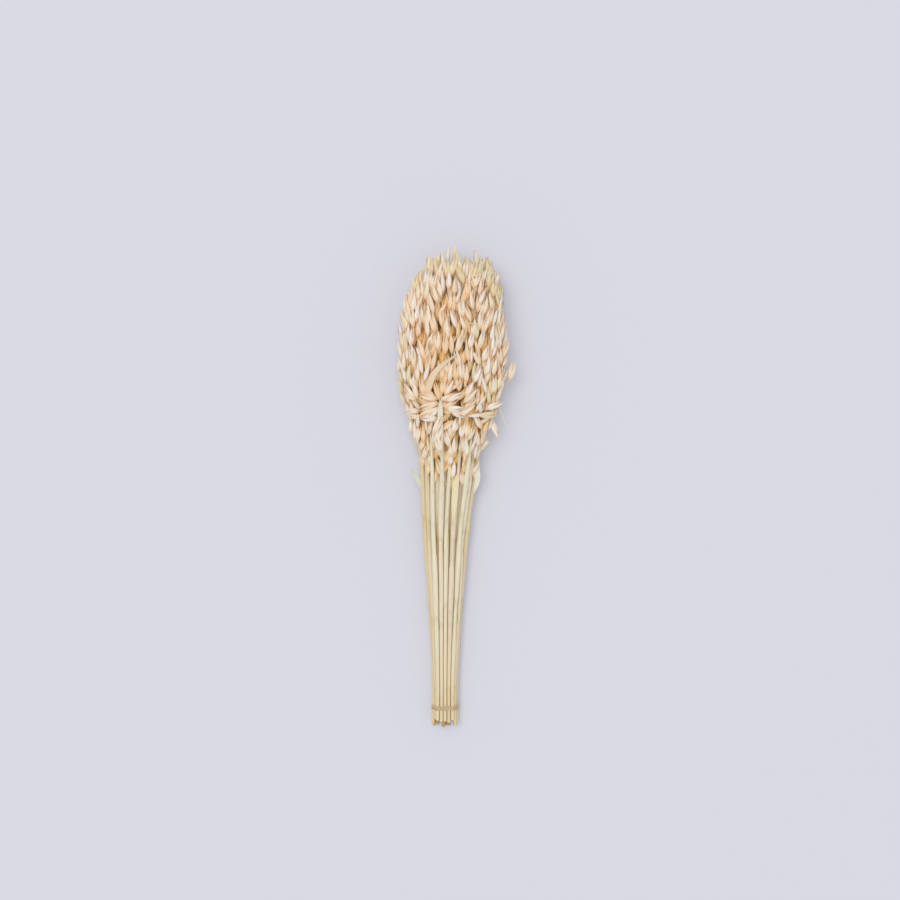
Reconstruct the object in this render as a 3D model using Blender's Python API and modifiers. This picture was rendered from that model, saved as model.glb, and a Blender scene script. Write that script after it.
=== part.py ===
"""A bundle of dried oats that lies on a table: oat stalks held by one elastic band.

Metres, +Z up. The bundle lies along Y with its head towards +Y, and the table is the plane z = 0.
While it is laid out, x = 0 is 7 mm beside the bound stems and y = 0 is 16 mm above the band. At the
end everything is moved so that the origin is the middle of the underside.
"""

import bisect
import math
import random

import bmesh
import bpy
import numpy as np
from mathutils import Matrix, Vector


class Profile:
    """A smooth curve through (place, value) stations."""

    def __init__(self, *stations):
        self.places, self.values = zip(*stations)
        self.slopes = np.gradient(self.values, self.places).tolist()

    def __call__(self, place):
        place = min(max(place, self.places[0]), self.places[-1])
        i = min(max(bisect.bisect(self.places, place) - 1, 0), len(self.places) - 2)
        span = self.places[i + 1] - self.places[i]
        t = (place - self.places[i]) / span
        low, high = self.values[i], self.values[i + 1]
        bend = self.slopes[i] * (1 - t) - self.slopes[i + 1] * t
        return low + (high - low) * t * t * (3 - 2 * t) + span * t * (1 - t) * bend


SEED = 7

# Stems, where the band binds them: rows of a close packing, from the lowest row up
STALKS_IN_ROW = (5, 6, 7, 6, 5)
CULM_PITCH = 0.0052
ROW_RISE = CULM_PITCH * math.sqrt(3) / 2
CULM_RADIUS = Profile(
    (-0.045, 0.00245),
    (-0.016, 0.00245),
    (0.140, 0.00285),
    (0.252, 0.00290),
    (0.310, 0.00220),
    (0.420, 0.00125),
    (0.640, 0.00070),
)
STEM_BEVEL = 1
WELD_DISTANCE = 0.00001
CUT_END = -0.038
CUT_END_SCATTER = 0.006

# The band, which lies on the table, and how far the stems' middle is then above it
BAND_Y = -0.016
BAND_WIDTH = 0.0060
BAND_THICKNESS = 0.0013
BAND_GAP = 0.0003
BAND_DIRECTIONS = 24
BOUND_SPREAD_X = 3 * CULM_PITCH
BOUND_SPREAD_Z = 2 * ROW_RISE
BAND_HALF_STEP = math.pi / BAND_DIRECTIONS
BAND_REACH = (CULM_RADIUS(BAND_Y) + BAND_GAP) * math.cos(BAND_HALF_STEP) + BAND_THICKNESS
BOUND_MIDDLE_Z = BOUND_SPREAD_Z + BAND_REACH

# The bundle's middle line, and how far the packing is spread from it, each by the place along Y
MIDDLE_X = Profile(
    (-0.045, -0.0070),
    (0.140, -0.0065),
    (0.252, -0.0056),
    (0.319, -0.0020),
    (0.476, 0.0035),
    (0.640, 0.0060),
)
MIDDLE_Z = Profile(
    (-0.045, BOUND_MIDDLE_Z + 0.0001),
    (BAND_Y, BOUND_MIDDLE_Z),
    (0.140, 0.0160),
    (0.252, 0.0205),
    (0.319, 0.0270),
    (0.386, 0.0360),
    (0.454, 0.0430),
    (0.640, 0.0460),
)
SPREAD_X = Profile(
    (-0.045, 0.0163),
    (BAND_Y, BOUND_SPREAD_X),
    (0.140, 0.0205),
    (0.252, 0.0282),
    (0.319, 0.0350),
    (0.386, 0.0430),
    (0.476, 0.0530),
    (0.640, 0.0540),
)
SPREAD_Z = Profile(
    (-0.045, 0.0094),
    (BAND_Y, BOUND_SPREAD_Z),
    (0.140, 0.0122),
    (0.252, 0.0160),
    (0.319, 0.0175),
    (0.386, 0.0195),
    (0.454, 0.0220),
    (0.640, 0.0235),
)

# How far a stem strays from its place, and the places along Y where its straight lengths meet
STRAY = 0.0035
LEAST_STRAY = 0.3
STRAY_DRAWS = 24
STEM_GAP = 0.00025
STEM_STATIONS = (BAND_Y, 0.140, 0.252, 0.319, 0.390, 0.470, 0.550)
STEM_LAST_LENGTH = 0.020
STEM_INTO_SPIKELET = 0.004

# The head's outside, from the lowest spikelets to the tips
HEAD_HALF_WIDTH = Profile(
    (0.286, 0.0343),
    (0.319, 0.0406),
    (0.353, 0.0480),
    (0.386, 0.0588),
    (0.420, 0.0690),
    (0.454, 0.0756),
    (0.476, 0.0777),
    (0.532, 0.0730),
    (0.566, 0.0700),
    (0.588, 0.0620),
    (0.612, 0.0480),
    (0.640, 0.0080),
)
WIDEST = max(HEAD_HALF_WIDTH.values)
HEAD_FLATNESS = 0.57
HEAD_LEAN = 0.008
HEAD_LEAN_FROM, HEAD_LEAN_TO = 0.56, 0.61
HEAD_MARGIN, HEAD_ABOVE = 0.0015, 0.0020
HEAD_LOWEST = 0.300
HEAD_TOP = 0.640

# Panicles. Those in the bundle's middle end highest, and those at its edge are staggered most
PANICLE_LENGTH = 0.255
PANICLE_LENGTH_SHARES = (0.92, 1.08)
PANICLE_BELOW_HEAD = 0.012
PANICLE_STAGGER = 0.135
STAGGER_STEP = 0.618
STAGGER_IN_MIDDLE = 0.05
EDGE_REACH = 1.2
EDGE_DROP = 0.040
WHORL_SPACING = 0.032

# Branches: the least rise to a spikelet's root, alone and for each metre aside, and the longest branch
BRANCH_RADIUS = 0.00055
BRANCH_FOOT = 1.35
BRANCH_RISE = 0.007
BRANCH_STEEPNESS = 1.2
LONGEST_BRANCH = 0.075
BEARER_BELOW = 0.012
NEAR_STALKS = 5
BRANCH_TURNS = [math.tau * share for share in (1 / 12, 5 / 12, 9 / 12)]

# Spikelets: their size, and their shape by shares of their length
SPIKELET_LENGTH = 0.0275
SPIKELET_LENGTH_SHARES = (0.9, 1.06)
SPIKELET_WIDTH = 0.0088
SPIKELET_DEPTH = 0.0054
SPIKELET_GAPE = 0.0044
WIDEST_SHARE, DEEPEST_SHARE = 0.40, 0.36
NOTCH_SHARE, SHORT_GLUME_SHARE = 0.66, 0.93
BARE_ROOT_SHARE = -0.15
SIDES = (-SPIKELET_WIDTH / 2, SPIKELET_WIDTH / 2)
GLUME_ROD = ((0.41, 0.22), (0.27, 0.80))
GLUME_ROD_RADIUS, BODY_ROD_RADIUS = 0.5 * SPIKELET_DEPTH, 0.42 * SPIKELET_DEPTH

# How spikelets are strewn: the mean and spread of their lean outwards, and the spreads of their lean
# sideways and of their twist, in radians
LEAN_OUT = (0.14, 0.12)
LEAN_ASIDE = (0, 0.19)
TWIST = (0, 0.5)
CLOSED_SHARE = 0.5
NARROW_HEAD_SHARE = 0.3
LOWEST_SPIKELET = 0.008
MIDDLE_SHARE = 0.45
FLOOR_GAP = 0.0015
MOST_SPIKELETS = 24
FEW_FIRST = 0.0016
LAYERS = ((1.00, 300), (0.86, 122), (0.70, 74), (0.50, 36))
DRAWS = 40
CLEARANCE = 0.0004

# A belt across the head's upper side where spikelets point outwards, by as much as this for each metre
# along, and how far along Y it reaches from its middle
BELT_LEAN = 1.8
BELT_Y, BELT_REACH = 0.400, 0.022

# The stalk that lies on top of the head, and the whorl at which its spikelets fan out sideways
CROWN_STALK = 26
CROWN_LIFT = Profile(
    (0.200, 0.0),
    (0.300, 0.0070),
    (0.400, 0.0160),
    (0.420, 0.0125),
    (0.440, 0.0040),
    (0.480, 0.0),
)
CROWN_WHORL = Vector((-0.017, 0.417, 0.074))
CROWN_FAN = (
    (228, -0.003, 0.85),
    (200, -0.009, 0.95),
    (186, -0.022, 0.80),
    (168, 0.002, 0.90),
    (84, 0.004, 0.85),
    (52, 0.003, 0.90),
    (27, -0.003, 1.00),
    (6, -0.012, 0.80),
)
CROWN_ROOT = 0.0065
CROWN_RISES = (0.20, 0.13)
CROWN_BRANCH_DROP = 0.004
CROWN_INNER, CROWN_OUTER, CROWN_PULL = 0.012, 0.045, 0.85

# The spikelets that stand out from the head's sides: their root, and the way that they point
STRAYS = (
    ((0.0835, 0.4475, 0.0400), (0.24, 1.0, 0.05)),
    ((-0.0420, 0.4050, 0.0600), (-1.0, -0.10, -0.45)),
    ((0.0400, 0.3980, 0.0620), (1.0, 0.02, -0.50)),
    ((0.0580, 0.3920, 0.0440), (0.40, -1.0, -0.15)),
)

# How far the spikelet at a stalk's end is turned from that of the stalk before it, in radians
END_TURN = 0.7

# Leaves: the stalk that each grows on, where on its stem, the blade's way from there, and its width
LEAF_THICKNESS = 0.0009
LEAF_STEPS = 7
LEAF_ROD_SHARE = 0.42
LEAF_OUTLINE = Profile((0, 0.18), (0.2, 0.38), (0.5, 0.5), (0.8, 0.36), (1, 0.07))
UPWARD = Vector((0, 0, 1))
STRAP = ((-0.034, 0.404, 0.0650), (-0.031, 0.432, 0.0730), (-0.018, 0.459, 0.0870), (0.010, 0.481, 0.0905))
HANGING = ((0.0385, 0.322, 0.0330), (0.0385, 0.306, 0.0330), (0.0325, 0.287, 0.0320))
SMALL = ((-0.0420, 0.301, 0.0280), (-0.0490, 0.313, 0.0310), (-0.0550, 0.3235, 0.0330))
DOWN_THE_STEMS = ((0.0080, 0.302, 0.0500), (0.0060, 0.276, 0.0465), (0.0040, 0.243, 0.0420))
LEAVES = (
    (25, 0.375, STRAP, 0.0068),
    (18, 0.336, HANGING, 0.0078),
    (12, 0.288, SMALL, 0.0046),
    (28, 0.318, DOWN_THE_STEMS, 0.0060),
)


def smooth_step(low, high, value):
    t = min(max((value - low) / (high - low), 0.0), 1.0)
    return t * t * (3 - 2 * t)


def rod_distances(start, end, starts, ends):
    """How far the segment from start to end lies from each of many segments."""
    along, others, between = end - start, ends - starts, start - starts
    a, e = along @ along, (others * others).sum(1)
    b, c, f = others @ along, between @ along, (others * between).sum(1)
    spread = np.maximum(a * e - b * b, 1e-18)
    s = np.clip((b * f - c * e) / spread, 0, 1)
    t = np.clip((b * s + f) / e, 0, 1)
    s = np.clip((b * t - c) / a, 0, 1)
    gaps = start + s[:, None] * along - starts - t[:, None] * others
    return np.sqrt((gaps * gaps).sum(1))


class Crowd:
    """What has been placed so far, as rods with round ends, so that no stalk grows through another."""

    MOST = 8000
    FAR = 0.012
    STEM, BRANCH, BODY = range(3)

    def __init__(self):
        self.starts, self.ends = np.zeros((self.MOST, 3)), np.ones((self.MOST, 3))
        self.lows, self.highs = np.zeros((self.MOST, 3)), np.zeros((self.MOST, 3))
        self.radii, self.owners = np.zeros(self.MOST), np.zeros(self.MOST, int)
        self.kinds = np.zeros(self.MOST, int)
        self.count = 0

    def add(self, rods, owner, kind):
        for start, end, radius in rods:
            i = self.count
            self.starts[i], self.ends[i] = start, end
            self.lows[i], self.highs[i] = np.minimum(start, end) - radius, np.maximum(start, end) + radius
            self.radii[i], self.owners[i], self.kinds[i] = radius, owner, kind
            self.count += 1

    def room(self, rods, owner, grown_from):
        """The gap from the rods to the nearest one placed, FAR at most, leaving out the kinds of
        its own stalk that it may grow from."""
        n = self.count
        points = np.array([point for rod in rods for point in rod[:2]])
        reach = self.FAR + max(rod[2] for rod in rods)
        low, high = points.min(0) - reach, points.max(0) + reach
        near = (self.lows[:n] < high).all(1) & (self.highs[:n] > low).all(1)
        near = np.flatnonzero(near & ((self.owners[:n] != owner) | ~np.isin(self.kinds[:n], grown_from)))
        gap = self.FAR
        for start, end, radius in rods:
            gaps = rod_distances(np.array(start), np.array(end), self.starts[near], self.ends[near])
            gap = min(gap, (gaps - self.radii[near] - radius).min(initial=self.FAR))
        return gap


class Stalk:
    """One oat stalk: its line through the bundle, and the panicle's two ends."""

    def __init__(self, number, u, v, draw):
        self.number, self.u, self.v = number, u, v
        edge = min(math.hypot(u, v) / EDGE_REACH, 1.0)
        turn, far = draw.uniform(0, math.tau), draw.uniform(LEAST_STRAY, 1.0) * STRAY
        self.stray = (far * math.cos(turn), far * math.sin(turn))
        staggered = STAGGER_IN_MIDDLE + (1 - STAGGER_IN_MIDDLE) * edge
        stagger = PANICLE_STAGGER * (number * STAGGER_STEP % 1) * staggered
        self.top = HEAD_TOP - EDGE_DROP * edge**2 - stagger
        length = PANICLE_LENGTH * draw.uniform(*PANICLE_LENGTH_SHARES)
        self.neck = max(self.top - length, HEAD_LOWEST - PANICLE_BELOW_HEAD)
        self.foot = CUT_END + CUT_END_SCATTER * draw.uniform(-1, 1)
        self.spikelets, self.leaves = [], []

    def stations(self):
        """Where along Y the stem's straight lengths meet."""
        end = self.top - SPIKELET_LENGTH + STEM_INTO_SPIKELET
        return [self.foot, *(y for y in STEM_STATIONS if y < end - STEM_LAST_LENGTH), end]

    def rods(self):
        line = [self.point(y) for y in self.stations()]
        return [(start, end, CULM_RADIUS(start.y)) for start, end in zip(line, line[1:])]

    def on_stem(self, y):
        """The middle of the stem, which runs straight from station to station."""
        for start, end, _ in self.rods():
            if y <= end.y:
                break
        return start.lerp(end, (y - start.y) / (end.y - start.y))

    def point(self, y):
        loose = smooth_step(BAND_Y, HEAD_LOWEST, y)
        lift = CROWN_LIFT(y) if self.number == CROWN_STALK else 0
        x = MIDDLE_X(y) + self.u * SPREAD_X(y) + loose * self.stray[0]
        z = MIDDLE_Z(y) + self.v * SPREAD_Z(y) + loose * self.stray[1] + lift
        return Vector((x, y, z))

    def whorl_below(self, root):
        """The highest whorl from which a branch can rise to a spikelet's root, or None."""
        found = None
        count = int((self.top - self.neck) / WHORL_SPACING)
        for k in range(count + 1):
            start = self.on_stem(self.neck + k * WHORL_SPACING)
            aside = math.hypot(root.x - start.x, root.z - start.z)
            least = max(BRANCH_RISE, BRANCH_STEEPNESS * aside)
            if root.y - start.y > least:
                found = start
        return found


class Spikelet:
    """A spikelet: where its root is, where it points, and which way its broad side runs."""

    def __init__(self, root, direction, facing, length, closed):
        self.root, self.direction, self.length, self.closed = root, direction, length, closed
        self.side = direction.cross(facing).normalized()
        self.start = None

    def place(self, across, share):
        return self.root + self.side * across + self.direction * (self.length * share)

    def tip(self):
        return self.place(0, 1)

    def rods(self):
        """The rods that enclose it: one for each glume, and one for the whole length."""
        (low, low_share), (high, high_share) = GLUME_ROD
        glumes = [(self.place(low * w, low_share), self.place(high * w, high_share)) for w in SIDES]
        body = (self.place(0, 0), self.place(0, 1), BODY_ROD_RADIUS)
        return [*((start, end, GLUME_ROD_RADIUS) for start, end in glumes), body]

    def branch(self):
        return [(self.start, self.root, BRANCH_RADIUS)] if self.start else []


class Leaf:
    """A flat blade that leaves the stem and tapers to a point."""

    def __init__(self, stalk, height, way, width):
        places = [stalk.on_stem(height), *(Vector(place) for place in way)]
        shares = [i / (len(places) - 1) for i in range(len(places))]
        self.ways = [Profile(*zip(shares, values)) for values in zip(*places)]
        self.width = width

    def place(self, share):
        return Vector(way(share) for way in self.ways)

    def line(self, steps):
        return [self.place(i / steps) for i in range(steps + 1)]

    def half_width(self, share):
        return self.width * LEAF_OUTLINE(share)

    def rods(self):
        line = self.line(LEAF_STEPS)
        return [(start, end, LEAF_ROD_SHARE * self.width) for start, end in zip(line, line[1:])]


def make_stalks(draw, crowd):
    """The stalks' stems, each drawn anew until it strays clear of those before it."""
    stalks = []
    for row, count in enumerate(STALKS_IN_ROW):
        v = (row - 2) / 2
        for k in range(count):
            u = (k - (count - 1) / 2) / 3
            for _ in range(STRAY_DRAWS):
                stalk = Stalk(len(stalks) + 1, u, v, draw)
                if crowd.room(stalk.rods(), stalk.number, ()) > STEM_GAP:
                    break
            stalks.append(stalk)
            crowd.add(stalk.rods(), stalk.number, Crowd.STEM)
    return stalks


def head_centre(y):
    return MIDDLE_X(y) + HEAD_LEAN * smooth_step(HEAD_LEAN_FROM, HEAD_LEAN_TO, y), MIDDLE_Z(y)


def inside_head(point):
    if not HEAD_LOWEST < point.y < HEAD_TOP + HEAD_ABOVE:
        return False
    x, z = head_centre(point.y)
    wide = HEAD_HALF_WIDTH(point.y) + HEAD_MARGIN
    return math.hypot((point.x - x) / wide, (point.z - z) / (HEAD_FLATNESS * wide)) < 1


def draw_spikelet(draw, depth):
    """A spikelet somewhere in the head, at a depth that is 1 at its outside, or None."""
    y = draw.uniform(HEAD_LOWEST + LOWEST_SPIKELET, HEAD_TOP)
    wide = HEAD_HALF_WIDTH(y)
    turn, lean, aside = draw.uniform(0, math.tau), draw.gauss(*LEAN_OUT), draw.gauss(*LEAN_ASIDE)
    twist, length = draw.gauss(*TWIST), SPIKELET_LENGTH * draw.uniform(*SPIKELET_LENGTH_SHARES)
    closed = draw.random() < CLOSED_SHARE
    if draw.random() > NARROW_HEAD_SHARE + (1 - NARROW_HEAD_SHARE) * wide / WIDEST:
        return None
    x, z = head_centre(y)
    reach = (wide - SPIKELET_WIDTH / 2) * depth
    middle = Vector((x + reach * math.cos(turn), y, z + reach * HEAD_FLATNESS * math.sin(turn)))
    out = Vector((math.cos(turn) * HEAD_FLATNESS, 0, math.sin(turn))).normalized()
    around = Vector((-out.z, 0, out.x))
    in_belt = max(math.sin(turn), 0) * math.exp(-(((y - BELT_Y) / BELT_REACH) ** 2))
    outwards = math.copysign(BELT_LEAN * draw.random() * in_belt, math.cos(turn))
    direction = (Vector((outwards, 1, 0)) + out * lean + around * aside).normalized()
    from_whorl = middle - CROWN_WHORL
    fanned = 1 - smooth_step(CROWN_INNER, CROWN_OUTER, from_whorl.length)
    direction = direction.lerp(from_whorl.normalized(), CROWN_PULL * fanned).normalized()
    if middle.z < SPIKELET_DEPTH / 2 + FLOOR_GAP:
        middle.z = SPIKELET_DEPTH / 2
        direction = Vector((direction.x, direction.y, 0)).normalized()
        out, twist = -UPWARD, 0
    facing = out * math.cos(twist) + around * math.sin(twist)
    spikelet = Spikelet(middle - direction * (MIDDLE_SHARE * length), direction, facing, length, closed)
    return spikelet if inside_head(spikelet.tip()) else None


def bearer(spikelet, stalks):
    """A near stalk that can carry the spikelet, sooner one with few. It sets where the branch starts."""
    root = spikelet.root

    def cost(stalk):
        return (stalk.point(root.y - BEARER_BELOW) - root).length + FEW_FIRST * len(stalk.spikelets)

    for stalk in sorted(stalks, key=cost)[:NEAR_STALKS]:
        if len(stalk.spikelets) >= MOST_SPIKELETS or not stalk.neck < root.y < stalk.top:
            continue
        spikelet.start = stalk.whorl_below(root)
        if spikelet.start and (spikelet.start - root).length < LONGEST_BRANCH:
            return stalk
    return None


def room_for(spikelet, stalk, crowd):
    body = crowd.room(spikelet.rods(), stalk.number, (Crowd.BRANCH,))
    if body < CLEARANCE:
        return body
    return min(body, crowd.room(spikelet.branch(), stalk.number, (Crowd.STEM, Crowd.BRANCH)))


def add_spikelet(stalk, spikelet, crowd):
    stalk.spikelets.append(spikelet)
    crowd.add(spikelet.rods(), stalk.number, Crowd.BODY)
    crowd.add(spikelet.branch(), stalk.number, Crowd.BRANCH)


def add_leaf(stalk, leaf, crowd):
    stalk.leaves.append(leaf)
    crowd.add(leaf.rods(), stalk.number, Crowd.BODY)


def fan_spikelets(stalk):
    """Those that fan out sideways round the crown stalk's whorl: by their angle from +X, in degrees,
    how far above the whorl they leave the stem, and their share of the usual length."""
    fan = []
    for k, (degrees, above, share) in enumerate(CROWN_FAN):
        height = CROWN_WHORL.y + above
        centre = Vector((stalk.on_stem(height).x, height, CROWN_WHORL.z))
        turn = math.radians(degrees)
        direction = Vector((math.cos(turn), math.sin(turn), CROWN_RISES[k % 2])).normalized()
        root, length = centre + CROWN_ROOT * direction, share * SPIKELET_LENGTH
        spikelet = Spikelet(root, direction, UPWARD, length, k % 3 > 0)
        spikelet.start = stalk.on_stem(centre.y - CROWN_BRANCH_DROP)
        fan.append(spikelet)
    return fan


def end_spikelet(stalk):
    """The one that a stalk's tip ends in."""
    root = stalk.point(stalk.top - SPIKELET_LENGTH)
    direction = (root - stalk.point(stalk.top - 2 * SPIKELET_LENGTH)).normalized()
    turn = END_TURN * stalk.number
    return Spikelet(root, direction, Vector((math.cos(turn), 0, math.sin(turn))), SPIKELET_LENGTH, False)


def lay_out():
    draw, crowd = random.Random(SEED), Crowd()
    stalks = make_stalks(draw, crowd)
    for number, height, way, width in LEAVES:
        add_leaf(stalks[number - 1], Leaf(stalks[number - 1], height, way, width), crowd)
    for stalk in stalks:
        add_spikelet(stalk, end_spikelet(stalk), crowd)
    for spikelet in fan_spikelets(stalks[CROWN_STALK - 1]):
        add_spikelet(stalks[CROWN_STALK - 1], spikelet, crowd)
    for root, way in STRAYS:
        stray = Spikelet(Vector(root), Vector(way).normalized(), UPWARD, SPIKELET_LENGTH, False)
        add_spikelet(bearer(stray, stalks), stray, crowd)
    for depth, count in LAYERS:
        for _ in range(count):
            best, best_room = None, CLEARANCE
            for _ in range(DRAWS):
                spikelet = draw_spikelet(draw, depth)
                stalk = spikelet and bearer(spikelet, stalks)
                if not stalk:
                    continue
                room = room_for(spikelet, stalk, crowd)
                if room > best_room:
                    best, best_room = (stalk, spikelet), room
            if best:
                add_spikelet(*best, crowd)
    return stalks


def new_object(name, mesh, collection):
    made = bpy.data.objects.new(name, mesh)
    collection.objects.link(made)
    return made


def mesh_of(made):
    """The object as its modifiers or its curve's settings leave it, as a mesh of its own."""
    bpy.context.view_layer.update()
    graph = bpy.context.evaluated_depsgraph_get()
    return bpy.data.meshes.new_from_object(made.evaluated_get(graph))


def culm_mesh(stalk):
    """The stalk's stem: a six-sided tube that thins towards the panicle's tip."""
    curve = bpy.data.curves.new("culm", "CURVE")
    curve.dimensions = "3D"
    curve.bevel_depth = CULM_RADIUS(CUT_END)
    curve.bevel_resolution = STEM_BEVEL
    curve.use_fill_caps = True
    line = curve.splines.new("POLY")
    stations = stalk.stations()
    line.points.add(len(stations) - 1)
    for point, y in zip(line.points, stations):
        point.co = (*stalk.point(y), 1)
        point.radius = CULM_RADIUS(y) / curve.bevel_depth
    guide = new_object("culm", curve, bpy.context.scene.collection)
    mesh = mesh_of(guide)
    bpy.data.objects.remove(guide)
    bm = bmesh.new()
    bm.from_mesh(mesh)
    bmesh.ops.remove_doubles(bm, verts=bm.verts, dist=WELD_DISTANCE)
    bm.to_mesh(mesh)
    bm.free()
    return mesh


def spikelet_mesh(spikelet):
    """Two glumes that swell from the root. They meet in one point, or gape like a beak with a notch
    between two tips. Their three-sided branch runs down from the root and thickens towards the stem."""
    side, front = SPIKELET_WIDTH / 2, SPIKELET_DEPTH / 2
    length, gape = spikelet.length, SPIKELET_GAPE / 2
    back = spikelet.direction.cross(spikelet.side)
    placed = Matrix((spikelet.side, back, spikelet.direction)).transposed()
    shape = {
        "right": (side, 0, WIDEST_SHARE * length),
        "back": (0, front, DEEPEST_SHARE * length),
        "left": (-side, 0, WIDEST_SHARE * length),
        "front": (0, -front, DEEPEST_SHARE * length),
    }
    if spikelet.closed:
        shape |= {"left_tip": (0, 0, length)}
    else:
        shape |= {
            "notch": (0, 0, NOTCH_SHARE * length),
            "left_tip": (-gape, 0, length),
            "right_tip": (gape, 0, SHORT_GLUME_SHARE * length),
        }
    bm = bmesh.new()
    v = {name: bm.verts.new(spikelet.root + placed @ Vector(place)) for name, place in shape.items()}
    for glume, near, far in (("left", "front", "back"), ("right", "back", "front")):
        tip = v["left_tip"] if spikelet.closed else v[glume + "_tip"]
        bm.faces.new((v[glume], v[near], tip))
        bm.faces.new((v[far], v[glume], tip))
        if not spikelet.closed:
            bm.faces.new((v[near], v["notch"], tip))
            bm.faces.new((v["notch"], v[far], tip))
    spokes = [placed @ Vector((math.cos(turn), math.sin(turn), 0)) for turn in BRANCH_TURNS]
    neck = [bm.verts.new(spikelet.root + BRANCH_RADIUS * spoke) for spoke in spokes]
    for k, pair in ((0, "right back"), (1, "back left"), (2, "left front"), (2, "front right")):
        here, there = pair.split()
        bm.faces.new((neck[k], v[here], v[there]))
    for k, here in ((0, "back"), (1, "left"), (2, "right")):
        bm.faces.new((neck[k], v[here], neck[(k + 1) % 3]))
    start = spikelet.start or spikelet.place(0, BARE_ROOT_SHARE)
    bend = spikelet.direction.rotation_difference(spikelet.root - start)
    foot_radius = BRANCH_FOOT * BRANCH_RADIUS
    foot = [bm.verts.new(start + foot_radius * (bend @ spoke)) for spoke in spokes]
    for k in range(3):
        bm.faces.new((neck[k], neck[(k + 1) % 3], foot[(k + 1) % 3]))
        bm.faces.new((neck[k], foot[(k + 1) % 3], foot[k]))
    bm.faces.new(foot)
    for vert in bm.verts:
        vert.co.z = max(vert.co.z, 0)
    bmesh.ops.recalc_face_normals(bm, faces=bm.faces)
    mesh = bpy.data.meshes.new("spikelet")
    bm.to_mesh(mesh)
    bm.free()
    return mesh


def leaf_mesh(leaf):
    """The blade, four points a station and alike on both faces."""
    bm = bmesh.new()
    rings = []
    line = leaf.line(LEAF_STEPS)
    for i, place in enumerate(line):
        way = line[min(i + 1, LEAF_STEPS)] - line[max(i - 1, 0)]
        across = way.cross(UPWARD).normalized() * leaf.half_width(i / LEAF_STEPS)
        up = across.cross(way).normalized() * (LEAF_THICKNESS / 2)
        corners = (place - across - up, place + across - up, place + across + up, place - across + up)
        rings.append([bm.verts.new(corner) for corner in corners])
    for low, high in zip(rings, rings[1:]):
        for k in range(4):
            a, b, c, d = low[k], low[(k + 1) % 4], high[(k + 1) % 4], high[k]
            split = ((a, b, c), (a, c, d)) if k < 2 else ((a, b, d), (b, c, d))
            for face in split:
                bm.faces.new(face)
    bm.faces.new(rings[0])
    bm.faces.new(rings[-1])
    bmesh.ops.recalc_face_normals(bm, faces=bm.faces)
    mesh = bpy.data.meshes.new("leaf")
    bm.to_mesh(mesh)
    bm.free()
    return mesh


def fuse(made, meshes):
    """Joins the meshes to the object in one union."""
    repeats = bpy.data.collections.new("repeats")
    for mesh in meshes:
        new_object("repeat", mesh, repeats)
    join = made.modifiers.new("join", "BOOLEAN")
    join.operation, join.operand_type, join.solver = "UNION", "COLLECTION", "MANIFOLD"
    join.collection = repeats
    made.data = mesh_of(made)
    made.modifiers.clear()
    for repeat in list(repeats.objects):
        bpy.data.objects.remove(repeat)
    bpy.data.collections.remove(repeats)


def plain_material(name, colour, roughness):
    made = bpy.data.materials.new(name)
    made.use_nodes = True
    shader = made.node_tree.nodes["Principled BSDF"]
    shader.inputs["Base Color"].default_value = (*colour, 1)
    shader.inputs["Roughness"].default_value = roughness
    shader.inputs["Metallic"].default_value = 0
    made.diffuse_color = (*colour, 1)
    return made


def build_stalk(stalk, bundle, straw):
    made = new_object(f"oat_stalk_{stalk.number:02d}", culm_mesh(stalk), bundle)
    repeats = [spikelet_mesh(s) for s in stalk.spikelets]
    repeats += [leaf_mesh(leaf) for leaf in stalk.leaves]
    fuse(made, repeats)
    made.data.materials.clear()
    made.data.materials.append(straw)
    return made


def band_outline(stalks):
    """The line of a band pulled tight round the stems: the furthest point of the stems in each
    direction, pushed out by the gap."""
    centres = [stalk.point(BAND_Y) for stalk in stalks]
    outline = []
    for k in range(BAND_DIRECTIONS):
        turn = BAND_HALF_STEP * (2 * k + 1)
        out = Vector((math.cos(turn), 0, math.sin(turn)))
        furthest = max(centres, key=lambda centre: centre.dot(out))
        outline.append(furthest + out * (CULM_RADIUS(BAND_Y) + BAND_GAP))
    return outline


def build_band(stalks, bundle, rubber):
    """A flat elastic band: the outline drawn out along Y and thickened outwards."""
    curve = bpy.data.curves.new("band", "CURVE")
    curve.dimensions = "2D"
    curve.fill_mode = "NONE"
    curve.extrude = BAND_WIDTH / 2
    line = curve.splines.new("POLY")
    outline = band_outline(stalks)
    line.points.add(len(outline) - 1)
    for point, place in zip(line.points, outline):
        point.co = (place.x, place.z, 0, 1)
    line.use_cyclic_u = True
    guide = new_object("band", curve, bundle)
    band = new_object("band_elastic", mesh_of(guide), bundle)
    bpy.data.objects.remove(guide)
    band.rotation_euler = (math.pi / 2, 0, 0)
    band.location = (0, BAND_Y, 0)
    wall = band.modifiers.new("wall", "SOLIDIFY")
    wall.thickness, wall.offset = BAND_THICKNESS, 1
    wall.use_even_offset = True
    band.data.materials.clear()
    band.data.materials.append(rubber)
    return band


def rest_on_origin(made):
    """Moves everything, by one empty, so that the origin is the middle of the underside."""
    bpy.context.view_layer.update()
    corners = [one.matrix_world @ v.co for one in made for v in mesh_of(one).vertices]
    low = Vector(min(c[i] for c in corners) for i in range(3))
    high = Vector(max(c[i] for c in corners) for i in range(3))
    frame = bpy.data.objects.new("oat_bundle", None)
    made[0].users_collection[0].objects.link(frame)
    for one in made:
        one.parent = frame
    frame.location = (-(low.x + high.x) / 2, -(low.y + high.y) / 2, -low.z)


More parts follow.
